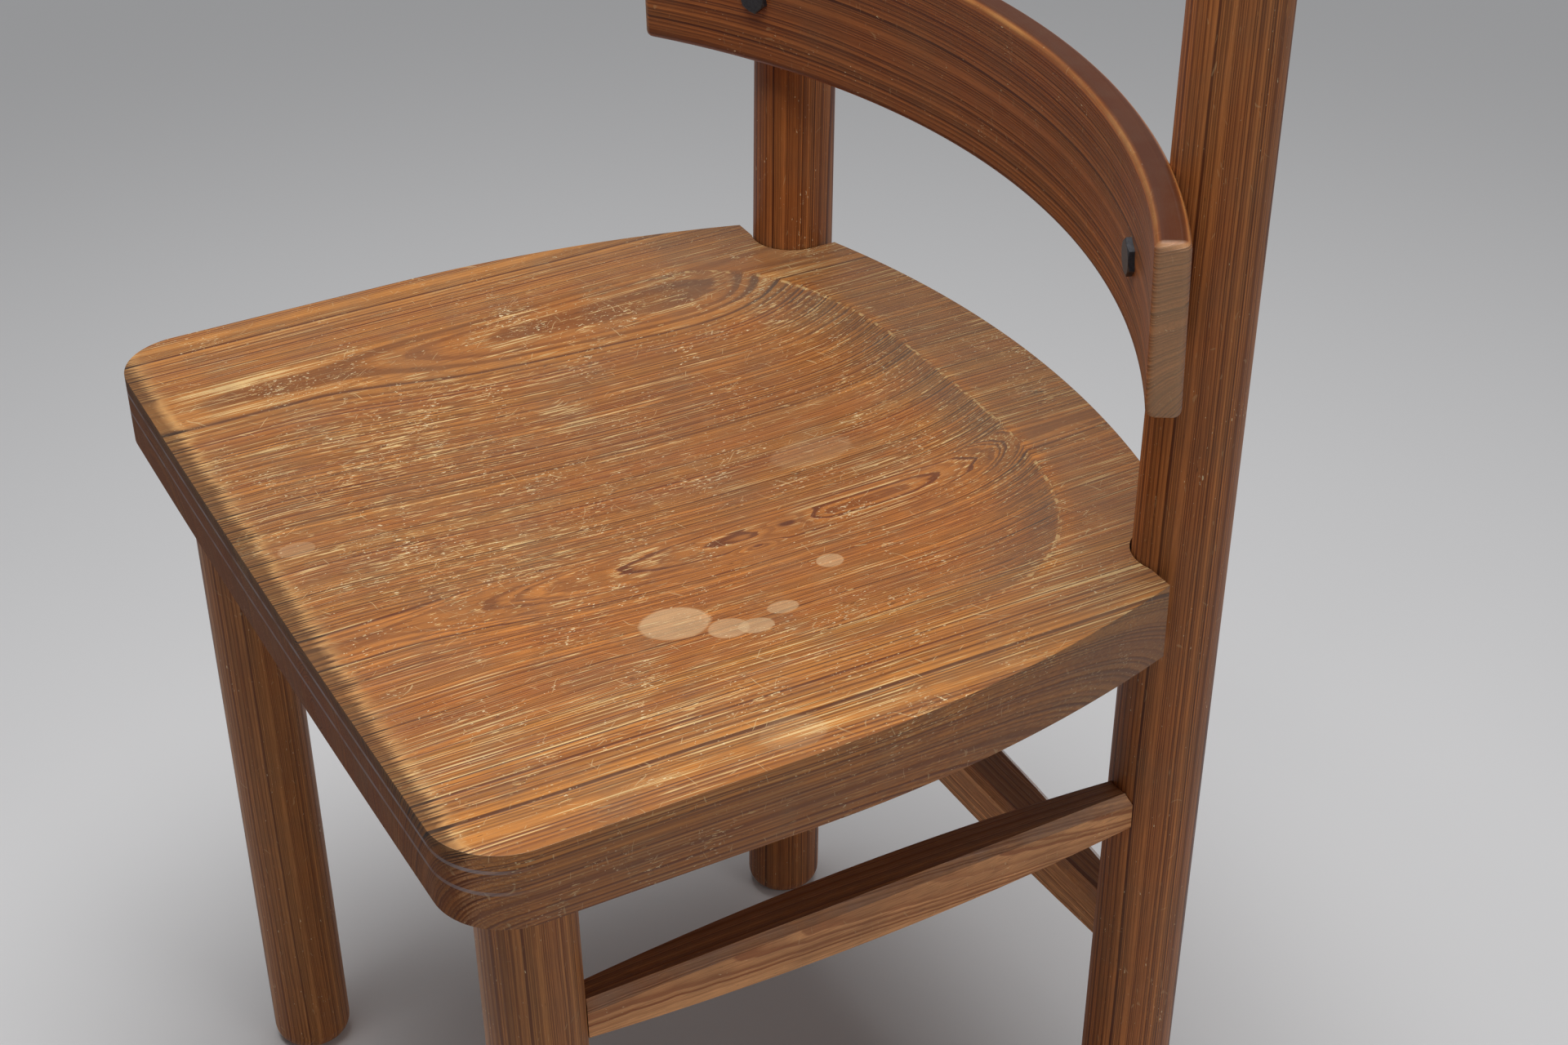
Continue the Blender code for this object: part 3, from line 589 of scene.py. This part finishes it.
def growth_rings(add, place, grain, ring, wavy, knots):
    """Count of the rings out from the pith, and how far each place is into dark late wood."""
    flat = add("VectorMath", {0: grain, 1: (1, 1, 0)}, operation="MULTIPLY")
    radius = add("VectorMath", {0: flat}, "Value", operation="LENGTH")
    count = add("Math", {0: radius, 1: ring * MM}, operation="DIVIDE")
    lane = add("Math", {0: count, 1: 0.37}, operation="MULTIPLY")
    uneven = add("TexNoise", {"W": lane, "Scale": 1.0, "Detail": 1.0}, noise_dimensions="1D")
    count = add("Math", {0: uneven, 1: 2.2, 2: count}, operation="MULTIPLY_ADD")
    ripple = fibres(add, grain, 4, 60, 0.0)
    count = add("Math", {0: ripple, 1: wavy, 2: count}, operation="MULTIPLY_ADD")
    heart = 0.0
    for middle, reach in knots:
        away = add("VectorMath", {0: place, 1: middle}, operation="SUBTRACT")
        away = add("VectorMath", {0: away, 1: reach}, operation="DIVIDE")
        away = add("VectorMath", {0: away}, "Value", operation="LENGTH")
        swell = add("MapRange", {0: away, 1: 1.0, 2: 0.0}, interpolation_type="SMOOTHSTEP")
        count = add("Math", {0: swell, 1: 2.4, 2: count}, operation="MULTIPLY_ADD")
        core = add("MapRange", {0: away, 1: 0.24, 2: 0.12})
        heart = add("Math", {0: heart, 1: core}, operation="MAXIMUM")
    index = add("Math", {0: count}, operation="FLOOR")
    phase = add("Math", {0: count}, operation="FRACT")
    chance = add("TexWhiteNoise", {"W": index}, noise_dimensions="1D")
    darkening = add("ValToRGB", {0: phase}).node
    stops = darkening.color_ramp
    stops.elements[0].color, stops.elements[1].color = (0, 0, 0, 1), (0, 0, 0, 1)
    for position, shade in ((0.30, 0.08), (0.52, 0.45), (0.66, 1.0), (0.92, 1.0)):
        stops.elements.new(position).color = (shade, shade, shade, 1)
    depth = add("MapRange", {0: chance, 1: 0.1, 2: 0.8, 3: 0.38, 4: 0.9})
    late = add("Math", {0: darkening.outputs[0], 1: depth}, operation="MULTIPLY")
    late = add("Math", {0: late, 1: heart}, operation="MAXIMUM")
    return count, late


def pine(name, pith, turn=(0, 0, 0), ring=1.3, early="#A5703A", late_tone="#5F3016",
         worn="#E6C285", streak=0.5, fleck=0.5, grime=0.3, rim=0.3, rim_wear_and_highlight="#D6A868", top_dust_and_shade=0.0,
         wavy=0.32, seed=0.0, knots=(), bent=False, seat=False, gloss=0.35):
    """Knotty pine, sawn and planed, under a clear lacquer that is worn through in places.

    The eye sees orange-brown wood in fine straight lines, thin pale lines and flecks where the
    lacquer is gone, a few hair scratches, and patches of dirt.
    """
    material = new_material(name)
    add = adder(material.node_tree)
    place = add("TexCoord", output="Object")
    local = add("Mapping", {0: unrolled(add, place) if bent else place, 1: pith,
                            2: [math.radians(a) for a in turn]}, vector_type="TEXTURE")

    # slow wander of the grain, some 70 mm across and 320 mm along
    slow = add("Mapping", {0: local, 1: (seed, seed * 2, seed * 3),
                           3: (1 / (70 * MM), 1 / (70 * MM), 1 / (320 * MM))})
    drift = add("TexNoise", {0: slow, "Scale": 1.0}, "Color")
    drift = add("VectorMath", {0: drift, 1: (0.5, 0.5, 0.5)}, operation="SUBTRACT")
    grain = add("VectorMath", {0: drift, 1: (GRAIN_WANDER, GRAIN_WANDER, 0), 2: local},
                operation="MULTIPLY_ADD")
    count, late = growth_rings(add, place, grain, ring, wavy, knots)
    fibre = fibres(add, grain, 0.35, 15, seed, 3.0)

    # wood tone: uneven rings, dark lines, bands of several rings, clouds of age
    lane = add("Math", {0: count, 1: 0.55}, operation="MULTIPLY")
    shade = add("TexNoise", {"W": lane, "Scale": 1.0, "Detail": 1.0}, noise_dimensions="1D")
    shade = add("MapRange", {0: shade, 1: 0.3, 2: 0.7, 3: 0.80, 4: 1.24})
    base = add("Mix", {0: 1.0, 6: early, 7: shade}, 2, data_type="RGBA", blend_type="MULTIPLY")
    line = add("MapRange", {0: fibres(add, grain, 0.9, 170, seed + 3), 1: 0.52, 2: 0.66, 4: 0.45})
    base = add("Mix", {0: line, 6: base, 7: late_tone}, 2, data_type="RGBA")
    base = add("Mix", {0: late, 6: base, 7: late_tone}, 2, data_type="RGBA")
    lane = add("Math", {0: count, 1: 0.13}, operation="MULTIPLY")
    band = add("TexNoise", {"W": lane, "Scale": 1.0}, noise_dimensions="1D")
    band = add("MapRange", {0: band, 1: 0.38, 2: 0.65, 4: 0.28})
    base = add("Mix", {0: band, 6: base, 7: RED_BAND}, 2, data_type="RGBA")
    cloud = add("TexNoise", {0: place, "Scale": 1 / (40 * MM), "Detail": 4.0, "Roughness": 0.55})
    aged = add("MapRange", {0: cloud, 1: 0.40, 2: 0.68, 4: 0.22})
    base = add("Mix", {0: aged, 6: base, 7: AGED_WOOD}, 2, data_type="RGBA")
    depth = add("MapRange", {0: fibre, 1: 0.3, 2: 0.7, 3: 0.80, 4: 1.18})
    base = add("Mix", {0: 1.0, 6: base, 7: depth}, 2, data_type="RGBA", blend_type="MULTIPLY")

    facing = add("NewGeometry", output="Normal")
    upward = add("SeparateXYZ", {0: facing}).node.outputs[2]

    # thin pale lines where the lacquer is gone from the soft wood, in patches; 0.7 mm wide, as
    # the real half millimetre would not show
    patch = add("TexNoise", {0: place, "Scale": 1 / (60 * MM)})
    along = add("SeparateXYZ", {0: grain}).node.outputs[2]
    lane = add("CombineXYZ", {0: count, 1: along, 2: seed})
    lane = add("VectorMath", {0: lane, 1: (0.9, 1 / (60 * MM), 1)}, operation="MULTIPLY")
    lane = add("TexNoise", {0: lane, "Scale": 1.0, "Roughness": 0.6})
    run = add("Math", {0: patch, 1: 0.40}, operation="MULTIPLY")
    run = add("Math", {0: lane, 1: 0.65, 2: run}, operation="MULTIPLY_ADD")
    run = add("Math", {0: fibres(add, grain, 0.7, 75, seed + 5), 1: 1.25, 2: run},
              operation="MULTIPLY_ADD")
    run = add("Math", {0: late, 1: -0.25, 2: run}, operation="MULTIPLY_ADD")
    start = 1.385 - 0.12 * streak
    shown = add("MapRange", {0: upward, 1: 0.2, 2: 0.6, 3: 0.25, 4: 0.88})
    bare = add("MapRange", {0: run, 1: start, 2: start + 0.06, 4: shown})
    base = add("Mix", {0: bare, 6: base, 7: worn}, 2, data_type="RGBA")

    # pale chips a millimetre across and dashes along the grain, with dark ones among them
    near = add("TexNoise", {0: place, "Scale": 1 / (22 * MM)})
    for width, length, edge, tone in ((0.8, 9, 0.950, worn), (0.9, 2.5, 0.950, PALE_CHIP),
                                      (0.6, 7, 0.955, DARK_CHIP)):
        chip = add("Math", {0: near, 1: 0.35, 2: fibres(add, grain, width, length, seed + length)},
                   operation="MULTIPLY_ADD")
        start = edge - 0.07 * fleck
        chip = add("MapRange", {0: chip, 1: start, 2: start + 0.03, 4: 0.85})
        base = add("Mix", {0: chip, 6: base, 7: tone}, 2, data_type="RGBA")

    # hair scratches, bent and crossing the grain
    bend = add("TexNoise", {0: place, "Scale": 1 / (35 * MM)}, "Color")
    bent_place = add("VectorMath", {0: bend, 1: (22 * MM, 22 * MM, 22 * MM), 2: place},
                     operation="MULTIPLY_ADD")
    for number, way in enumerate((20, 65, 140)):
        turned = add("Mapping", {0: bent_place, 1: (number * 0.7, seed, 0),
                                 2: (0, 0, math.radians(way))})
        stretched = add("Mapping", {0: turned, 3: (1 / (0.8 * MM), 1 / (16 * MM), 1 / (9 * MM))})
        hair = add("TexNoise", {0: stretched, "Scale": 1.0, "Detail": 1.0})
        hair = add("MapRange", {0: hair, 1: 0.76 - 0.02 * fleck, 2: 0.79 - 0.02 * fleck,
                                4: 0.42 * fleck})
        base = add("Mix", {0: hair, 6: base, 7: HAIR_SCRATCH}, 2, data_type="RGBA")

    # rounded and chamfered edges that face upward turn pale: rubbed by hands and feet, and a
    # painted highlight; and darker upper faces
    edge = add("MapRange", {0: upward, 1: 0.30, 2: 0.55, 4: rim})
    edge = add("MapRange", {0: upward, 1: 0.90, 2: 0.76, 3: 0.0, 4: edge})
    rubbed = add("MapRange", {0: cloud, 1: 0.40, 2: 0.60, 3: 0.3, 4: 1.0})
    edge = add("Math", {0: edge, 1: rubbed}, operation="MULTIPLY")
    base = add("Mix", {0: edge, 6: base, 7: rim_wear_and_highlight}, 2, data_type="RGBA")
    # darker upper faces: painted shade of the seat on the stretchers' tops, dust on the rail's top
    lying = add("MapRange", {0: upward, 1: 0.8, 2: 0.97, 4: top_dust_and_shade})
    base = add("Mix", {0: lying, 6: base, 7: DUSTY_SHADED_TOP}, 2, data_type="RGBA")
    # the bent rail's sawn ends are paler than its faces
    if bent:
        along = add("SeparateXYZ", {0: local}).node.outputs[2]
        along = add("Math", {0: along}, operation="ABSOLUTE")
        end = RAIL_HALF_ANGLE * RAIL_INNER_RADIUS
        cap = add("MapRange", {0: along, 1: end - 3.5 * MM, 2: end - 0.5 * MM, 4: 0.48})
        base = add("Mix", {0: cap, 6: base, 7: RAIL_END}, 2, data_type="RGBA")
    if seat:
        base, front = seat_wear(add, place, upward, base, late)
    smear = add("TexNoise", {0: place, "Scale": 1 / (30 * MM), "Detail": 5.0, "Roughness": 0.65})
    smear = add("MapRange", {0: smear, 1: 0.45, 2: 0.75, 4: grime})
    base = add("Mix", {0: smear, 6: base, 7: GRIME}, 2, data_type="RGBA")

    # the hard late wood stands proud of the soft early wood
    relief = add("Math", {0: fibre, 1: 0.3, 2: late}, operation="MULTIPLY_ADD")
    relief = add("Math", {0: bare, 1: -0.4, 2: relief}, operation="MULTIPLY_ADD")
    bump = add("Bump", {"Strength": 0.7, "Distance": 0.25 * MM, "Height": relief})
    rough = add("Math", {0: cloud, 1: 0.15, 2: LACQUER_ROUGHNESS}, operation="MULTIPLY_ADD")
    rough = add("Math", {0: bare, 1: 0.15, 2: rough}, operation="MULTIPLY_ADD")
    rough = add("Math", {0: edge, 1: -0.6, 2: rough}, operation="MULTIPLY_ADD")
    if seat:
        rough = add("Math", {0: front, 1: 0.5, 2: rough}, operation="MULTIPLY_ADD")
    shader = add("BsdfPrincipled", {"Base Color": base, "Roughness": rough, "Normal": bump,
                                    "IOR": 1.5, "Specular IOR Level": gloss})
    add("OutputMaterial", {0: shader})
    return material


def seat_wear(add, place, upward, base, late):
    """Seat wear and painted light: rubbed rim, painted corner highlight, dirty front, painted slope
    shade, painted ledge highlights, drops.
    """
    x, y, z = add("SeparateXYZ", {0: place}).node.outputs
    ragged = add("TexNoise", {0: place, "Scale": 1 / (12 * MM), "Detail": 3.0, "Roughness": 0.6})
    ragged = add("MapRange", {0: ragged, 3: -4 * MM, 4: 4 * MM})

    # the front rounding: dirt creeps up it along the hard rings, the soft wood is rubbed pale
    creep = add("Math", {0: late, 1: -6.0 * MM, 2: y}, operation="MULTIPLY_ADD")
    creep = add("Math", {0: creep, 1: ragged}, operation="ADD")
    top = add("MapRange", {0: z, 1: SEAT_TOP - 4.0 * MM, 2: SEAT_TOP - 0.6 * MM})
    soft = add("Math", {0: top, 1: late}, operation="SUBTRACT", use_clamp=True)
    rubbed = add("MapRange", {0: creep, 1: SEAT_FRONT_Y + 13.5 * MM, 2: SEAT_FRONT_Y + 9 * MM,
                              4: soft})
    rubbed = add("Math", {0: rubbed, 1: 0.45}, operation="MULTIPLY")
    base = add("Mix", {0: rubbed, 6: base, 7: RUBBED_FRONT}, 2, data_type="RGBA")
    front = add("MapRange", {0: creep, 1: SEAT_FRONT_Y + 9.5 * MM, 2: SEAT_FRONT_Y + 4.5 * MM,
                             4: 0.9})
    dirty = add("Mix", {0: 1.0, 6: base, 7: FRONT_DIRT}, 2, data_type="RGBA", blend_type="MULTIPLY")
    base = add("Mix", {0: front, 6: base, 7: dirty}, 2, data_type="RGBA")
    blackest = add("MapRange", {0: z, 1: SEAT_TOP - 13 * MM, 2: SEAT_TOP - 4 * MM, 4: front})
    lined = add("Math", {0: late, 1: 0.5, 2: 0.3}, operation="MULTIPLY_ADD")
    blackest = add("Math", {0: blackest, 1: lined}, operation="MULTIPLY")
    base = add("Mix", {0: blackest, 6: base, 7: BLACKEST_DIRT}, 2, data_type="RGBA")
    below = add("MapRange", {0: z, 1: SEAT_TOP - 4 * MM, 2: SEAT_TOP - 14 * MM, 4: 0.38})
    base = add("Mix", {0: below, 6: base, 7: LOWER_FRONT}, 2, data_type="RGBA")

    # the near front corner's rim, rubbed to bare wood by hands, with a painted highlight of the
    # lamp on it
    corner = add("MapRange", {0: y, 1: SEAT_FRONT_Y + 140 * MM, 2: SEAT_FRONT_Y + 60 * MM, 4: 0.8})
    corner = add("MapRange", {0: x, 1: SEAT_WIDTH / 2 - 34 * MM, 2: SEAT_WIDTH / 2 - 12 * MM,
                              4: corner})
    corner = add("MapRange", {0: upward, 1: 0.70, 2: 0.86, 4: corner})
    corner = add("MapRange", {0: upward, 1: 0.995, 2: 0.93, 4: corner})
    bared = add("Math", {0: soft, 1: 0.6, 2: 0.4}, operation="MULTIPLY_ADD")
    corner = add("Math", {0: corner, 1: bared}, operation="MULTIPLY")
    base = add("Mix", {0: corner, 6: base, 7: BARE_CORNER_AND_HIGHLIGHT}, 2, data_type="RGBA")

    # painted highlights of two small ledges round the front, fading towards the corners
    near_front = add("MapRange", {0: y, 1: SEAT_FRONT_Y + 34 * MM, 2: SEAT_FRONT_Y + 8 * MM})
    broken = add("TexNoise", {0: place, "Scale": 1 / (14 * MM), "Detail": 3.0})
    broken = add("MapRange", {0: broken, 1: 0.3, 2: 0.55, 3: 0.3, 4: 1.0})
    broken = add("Math", {0: broken, 1: near_front}, operation="MULTIPLY")
    for height, strength in PAINTED_LEDGE_LINES:
        line = add("Math", {0: z, 1: height, 2: 0.9 * MM}, operation="COMPARE")
        line = add("Math", {0: line, 1: broken}, operation="MULTIPLY")
        line = add("Math", {0: line, 1: strength}, operation="MULTIPLY")
        base = add("Mix", {0: line, 6: base, 7: LEDGE_HIGHLIGHT_TONE}, 2, data_type="RGBA")

    # the scoop's back slope is greyer with painted shade, stronger along the hard rings; its crest
    # is chipped pale
    behind = add("Math", {0: y, 1: SCOOP_CENTRE_Y}, operation="SUBTRACT", use_clamp=True)
    across = add("Math", {0: x}, operation="ABSOLUTE")
    share = add("CombineXYZ", {0: across, 1: behind})
    share = add("VectorMath", {0: share, 1: (SCOOP_HALF_WIDTH, SCOOP_BACK_REACH, 1)},
                operation="DIVIDE")
    share = add("VectorMath", {0: share, 1: (SCOOP_OUTLINE, SCOOP_OUTLINE, 1)}, operation="POWER")
    share_x, share_y, _ = add("SeparateXYZ", {0: share}).node.outputs
    share = add("Math", {0: share_x, 1: share_y}, operation="ADD")
    share = add("Math", {0: share, 1: 1 / SCOOP_OUTLINE}, operation="POWER")
    back_half = add("MapRange", {0: y, 1: SCOOP_CENTRE_Y - 20 * MM, 2: SCOOP_CENTRE_Y + 60 * MM})
    slope_shade = add("MapRange", {0: share, 1: 0.74, 2: 0.93, 4: back_half})
    slope_shade = add("MapRange", {0: share, 1: 1.02, 2: 0.985, 4: slope_shade})
    hard = add("Math", {0: late, 1: 0.45, 2: 0.38}, operation="MULTIPLY_ADD")
    slope_shade = add("Math", {0: slope_shade, 1: hard}, operation="MULTIPLY")
    base = add("Mix", {0: slope_shade, 6: base, 7: SLOPE_SHADE}, 2, data_type="RGBA")
    ledge = add("MapRange", {0: share, 1: 1.0, 2: 1.06, 4: back_half})
    ledge = add("Math", {0: ledge, 1: 0.38}, operation="MULTIPLY")
    base = add("Mix", {0: ledge, 6: base, 7: LEDGE_DIRT}, 2, data_type="RGBA")
    crest = add("Math", {0: ragged, 1: 0.8, 2: share}, operation="MULTIPLY_ADD")
    crest = add("Math", {0: crest, 1: 1.0, 2: 0.006}, operation="COMPARE")
    chipped = add("TexNoise", {0: place, "Scale": 1 / (4 * MM), "Detail": 3.0})
    chipped = add("MapRange", {0: chipped, 1: 0.50, 2: 0.60, 4: back_half})
    crest = add("Math", {0: crest, 1: chipped}, operation="MULTIPLY")
    crest = add("Math", {0: crest, 1: 0.45}, operation="MULTIPLY")
    base = add("Mix", {0: crest, 6: base, 7: CHIPPED_CREST}, 2, data_type="RGBA")

    # greyish smudges, and drops that dried milky
    smudge = add("TexNoise", {0: place, "Scale": 1 / (26 * MM), "Detail": 5.0, "Roughness": 0.6})
    smudge = add("MapRange", {0: smudge, 1: 0.54, 2: 0.68, 4: 0.09})
    base = add("Mix", {0: smudge, 6: base, 7: SMUDGE}, 2, data_type="RGBA")
    inside = add("MapRange", {0: z, 1: SEAT_TOP - 14 * MM, 2: SEAT_TOP - 11 * MM})
    for drop_x, drop_y, half_x, half_y, strength in STAINS:
        away = add("VectorMath", {0: place, 1: (drop_x, drop_y, 0)}, operation="SUBTRACT")
        away = add("VectorMath", {0: away, 1: (1 / half_x, 1 / half_y, 0)}, operation="MULTIPLY")
        away = add("VectorMath", {0: away}, "Value", operation="LENGTH")
        away = add("Math", {0: ragged, 1: 22.0, 2: away}, operation="MULTIPLY_ADD")
        drop = add("MapRange", {0: away, 1: 1.04, 2: 0.94, 4: inside})
        drop = add("Math", {0: drop, 1: strength}, operation="MULTIPLY")
        base = add("Mix", {0: drop, 6: base, 7: DRIED_DROP}, 2, data_type="RGBA")
    return base, front


def assign(obj, material):
    """Give a piece its one material and its slot, and put a new piece on the root body."""
    obj.data.materials.clear()
    obj.data.materials.append(material)
    if obj.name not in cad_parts:
        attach(obj, "root")


def seen_directly(add):
    """One where the camera, a reflection or clear glass looks straight at the surface."""
    rays = add("LightPath").node
    seen = add("Math", {0: rays.outputs["Is Camera Ray"], 1: rays.outputs["Is Glossy Ray"]})
    return add("Math", {0: seen, 1: rays.outputs["Is Transmission Ray"]}, use_clamp=True)


def stage():
    """Pale seamless studio floor that carries on to the horizon, kept plain."""
    bm = bmesh.new()
    bmesh.ops.create_circle(bm, cap_ends=True, segments=64, radius=FLOOR_RADIUS)
    floor = finished("studio_floor", bm)
    floor.data.transform(Matrix.Translation((0, 0, -FLOOR_DROP)))
    # matt paper: the eye sees an even pale grey, a little darker under the chair, with no shine
    material = new_material("matt_grey_paper")
    add = adder(material.node_tree)
    paper = add("BsdfPrincipled", {"Base Color": "#E6E6E7", "Roughness": 0.9,
                                   "Specular IOR Level": 0.1})
    # far from the chair the floor takes the backdrop's grey, so that no horizon shows
    far = add("VectorMath", {0: add("TexCoord", output="Object")}, "Value", operation="LENGTH")
    far = add("MapRange", {0: far, 1: FLOOR_FADE[0], 2: FLOOR_FADE[1], 4: seen_directly(add)},
              interpolation_type="SMOOTHSTEP")
    backdrop = add("Emission", {0: BACKDROP_COLOUR, 1: BACKDROP_STRENGTH})
    add("OutputMaterial", {0: add("MixShader", {0: far, 1: paper, 2: backdrop})})
    floor.data.materials.append(material)

    world = bpy.data.worlds.new("studio")
    bpy.context.scene.world = world
    world.use_nodes = True
    world.node_tree.nodes.clear()
    add = adder(world.node_tree)
    strength = add("MapRange", {0: seen_directly(add), 3: WORLD_LIGHT, 4: BACKDROP_STRENGTH})
    add("OutputWorld", {0: add("Background", {0: BACKDROP_COLOUR, 1: strength})})


def lamp(name, place, target, size, power):
    """Rectangular lamp turned to face a point."""
    light = bpy.data.lights.new(name, "AREA")
    light.shape = "RECTANGLE"
    light.size, light.size_y = size
    light.energy = power
    obj = bpy.data.objects.new(name, light)
    bpy.context.scene.collection.objects.link(obj)
    obj.location = place
    obj.rotation_euler = (Vector(place) - Vector(target)).to_track_quat("Z", "Y").to_euler()


def camera():
    """The photograph's viewpoint."""
    azimuth, elevation, roll = (math.radians(a) for a in CAMERA_ANGLES)
    back = Vector((math.sin(azimuth) * math.cos(elevation),
                   -math.cos(azimuth) * math.cos(elevation), math.sin(elevation)))
    right = (-back).cross(Vector((0, 0, 1))).normalized()
    up = right.cross(-back)
    rolled_right = math.cos(roll) * right + math.sin(roll) * up
    rolled_up = math.cos(roll) * up - math.sin(roll) * right
    data = bpy.data.cameras.new("camera")
    data.lens = CAMERA_LENS
    data.sensor_width = 36
    data.sensor_fit = "HORIZONTAL"
    obj = bpy.data.objects.new("camera", data)
    bpy.context.scene.collection.objects.link(obj)
    matrix = Matrix((rolled_right, rolled_up, back)).transposed().to_4x4()
    matrix.translation = CAMERA_PLACE
    obj.matrix_world = matrix
    bpy.context.scene.camera = obj


def steel():
    """Black oxide on forged steel: the eye sees a dull near-black, mottled a little greyer."""
    material = new_material("black_oxide_steel")
    add = adder(material.node_tree)
    place = add("TexCoord", output="Object")
    mottle = add("TexNoise", {0: place, "Scale": 1 / (1.5 * MM), "Detail": 4.0})
    colour = add("Mix", {0: mottle, 6: "#1C1C1E", 7: "#4A4B50"}, 2, data_type="RGBA")
    shader = add("BsdfPrincipled", {"Base Color": colour, "Roughness": 0.42, "Metallic": 0.6})
    add("OutputMaterial", {0: shader})
    return material


def dress_seat():
    """The seat boards, each cut from its own plank."""
    top = SEAT_TOP
    # the seat's wood: the eye sees golden-orange pine, redder and darker along its hard rings
    boards = {
        "right": pine("lacquered_pine_seat_right", (-0.275, 0, top - 0.050), (90, 0, 0),
                      ring=1.75, early="#B87B3C", late_tone="#552409", streak=0.55, fleck=0.9,
                      seat=True, seed=1.3),
        "middle": pine("lacquered_pine_seat_middle", (-0.165, 0, top - 0.085), (90.4, 0, 0.5),
                       ring=1.65, early="#B07336", late_tone="#4C210B", streak=0.9, fleck=1.15,
                       seat=True, seed=2.1),
        "left_inner": pine("lacquered_pine_seat_left_inner", (0.070, 0, top - 0.030), (90, 0, 1.0),
                           ring=1.35, early="#B87434", late_tone="#52200A", streak=0.75, fleck=1.0,
                           wavy=1.3, seat=True, seed=3.7,
                           knots=(((0.068, 0.029, top - 0.009), (0.011, 0.026, 0.02)),
                                  ((0.079, 0.008, top - 0.009), (0.006, 0.018, 0.02)))),
        "left": pine("lacquered_pine_seat_left", (0.262, 0, top - 0.055), (90, 0, -0.5),
                     ring=1.75, early="#BC7A36", late_tone="#4A1F08", streak=1.15, fleck=1.0,
                     seat=True, seed=4.9),
    }
    for obj in seat_boards():
        assign(obj, boards[obj.name.replace("pine_seat_board_", "")])


def dress_frame():
    """Legs, posts, stretchers and rail, in browner pine than the seat and less worn."""
    frame_wear = dict(worn="#B98048", streak=0.15, fleck=0.45, grime=0.2, gloss=0.22)
    for obj in legs_and_posts():
        side = 1 if obj.name.endswith("left") else -1
        if "leg" in obj.name:
            pith, turn = (side * LEG_X + 0.012, LEG_Y + 0.045, 0), (0, 0.4, 0)
            tone = dict(early="#B07440", late_tone="#67351B")
        else:
            pith, turn = (side * POST_X + 0.035, POST_Y + 0.03, 0), (-2.3, 0.335 * side, 0)
            tone = dict(early="#AE6B38", late_tone="#4C1E0C")
        material = pine(obj.name.replace("pine", "lacquered_pine"), pith, turn,
                        seed=side + len(obj.name) * 0.37, **tone, **frame_wear)
        assign(obj, material)
    for obj in stretchers():
        if "back" in obj.name:
            pith, turn = (0, 0.13, 0.19), (0, 90, 0)
        else:
            side = 1 if obj.name.endswith("left") else -1
            pith, turn = (side * 0.16, 0, 0.33), (90, 0, 0)
        material = pine(obj.name.replace("pine", "lacquered_pine"), pith, turn, seed=7.7,
                        early="#DFA069", late_tone="#96552F", top_dust_and_shade=0.62, rim=0.55,
                        rim_wear_and_highlight="#BE9C86", **frame_wear)
        assign(obj, material)
    pith = (RAIL_INNER_RADIUS + 0.03, RAIL_BOTTOM_Z - 0.012, 0)
    material = pine("lacquered_pine_back_rail", pith, ring=1.6, bent=True, seed=9.1,
                    early="#9E5E30", late_tone="#451B0B", top_dust_and_shade=0.95, rim=0.4, rim_wear_and_highlight="#C08A4C",
                    **frame_wear)
    assign(rail(), material)


def dress_fixings():
    """The bolt heads, and the dowels that keep their CAD shapes."""
    black = steel()
    for obj in bolts():
        assign(obj, black)
    # the dowels are plain pale beech, hidden between post and seat
    dowel = pine("planed_beech_dowel", (0.2, 0.15, 0.3), early="#B08A5E", late_tone="#9A744C")
    for name, _ in SIDES:
        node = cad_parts["seat_dowel_" + name]
        node.data.materials.clear()
        node.data.materials.append(dowel)


def main():
    """Dress every piece, then set the stage, the lamps and the camera."""
    bpy.context.scene.view_settings.view_transform = "Standard"
    dress_seat()
    dress_frame()
    dress_fixings()
    stage()
    for settings in LAMPS:
        lamp(*settings)
    camera()


main()
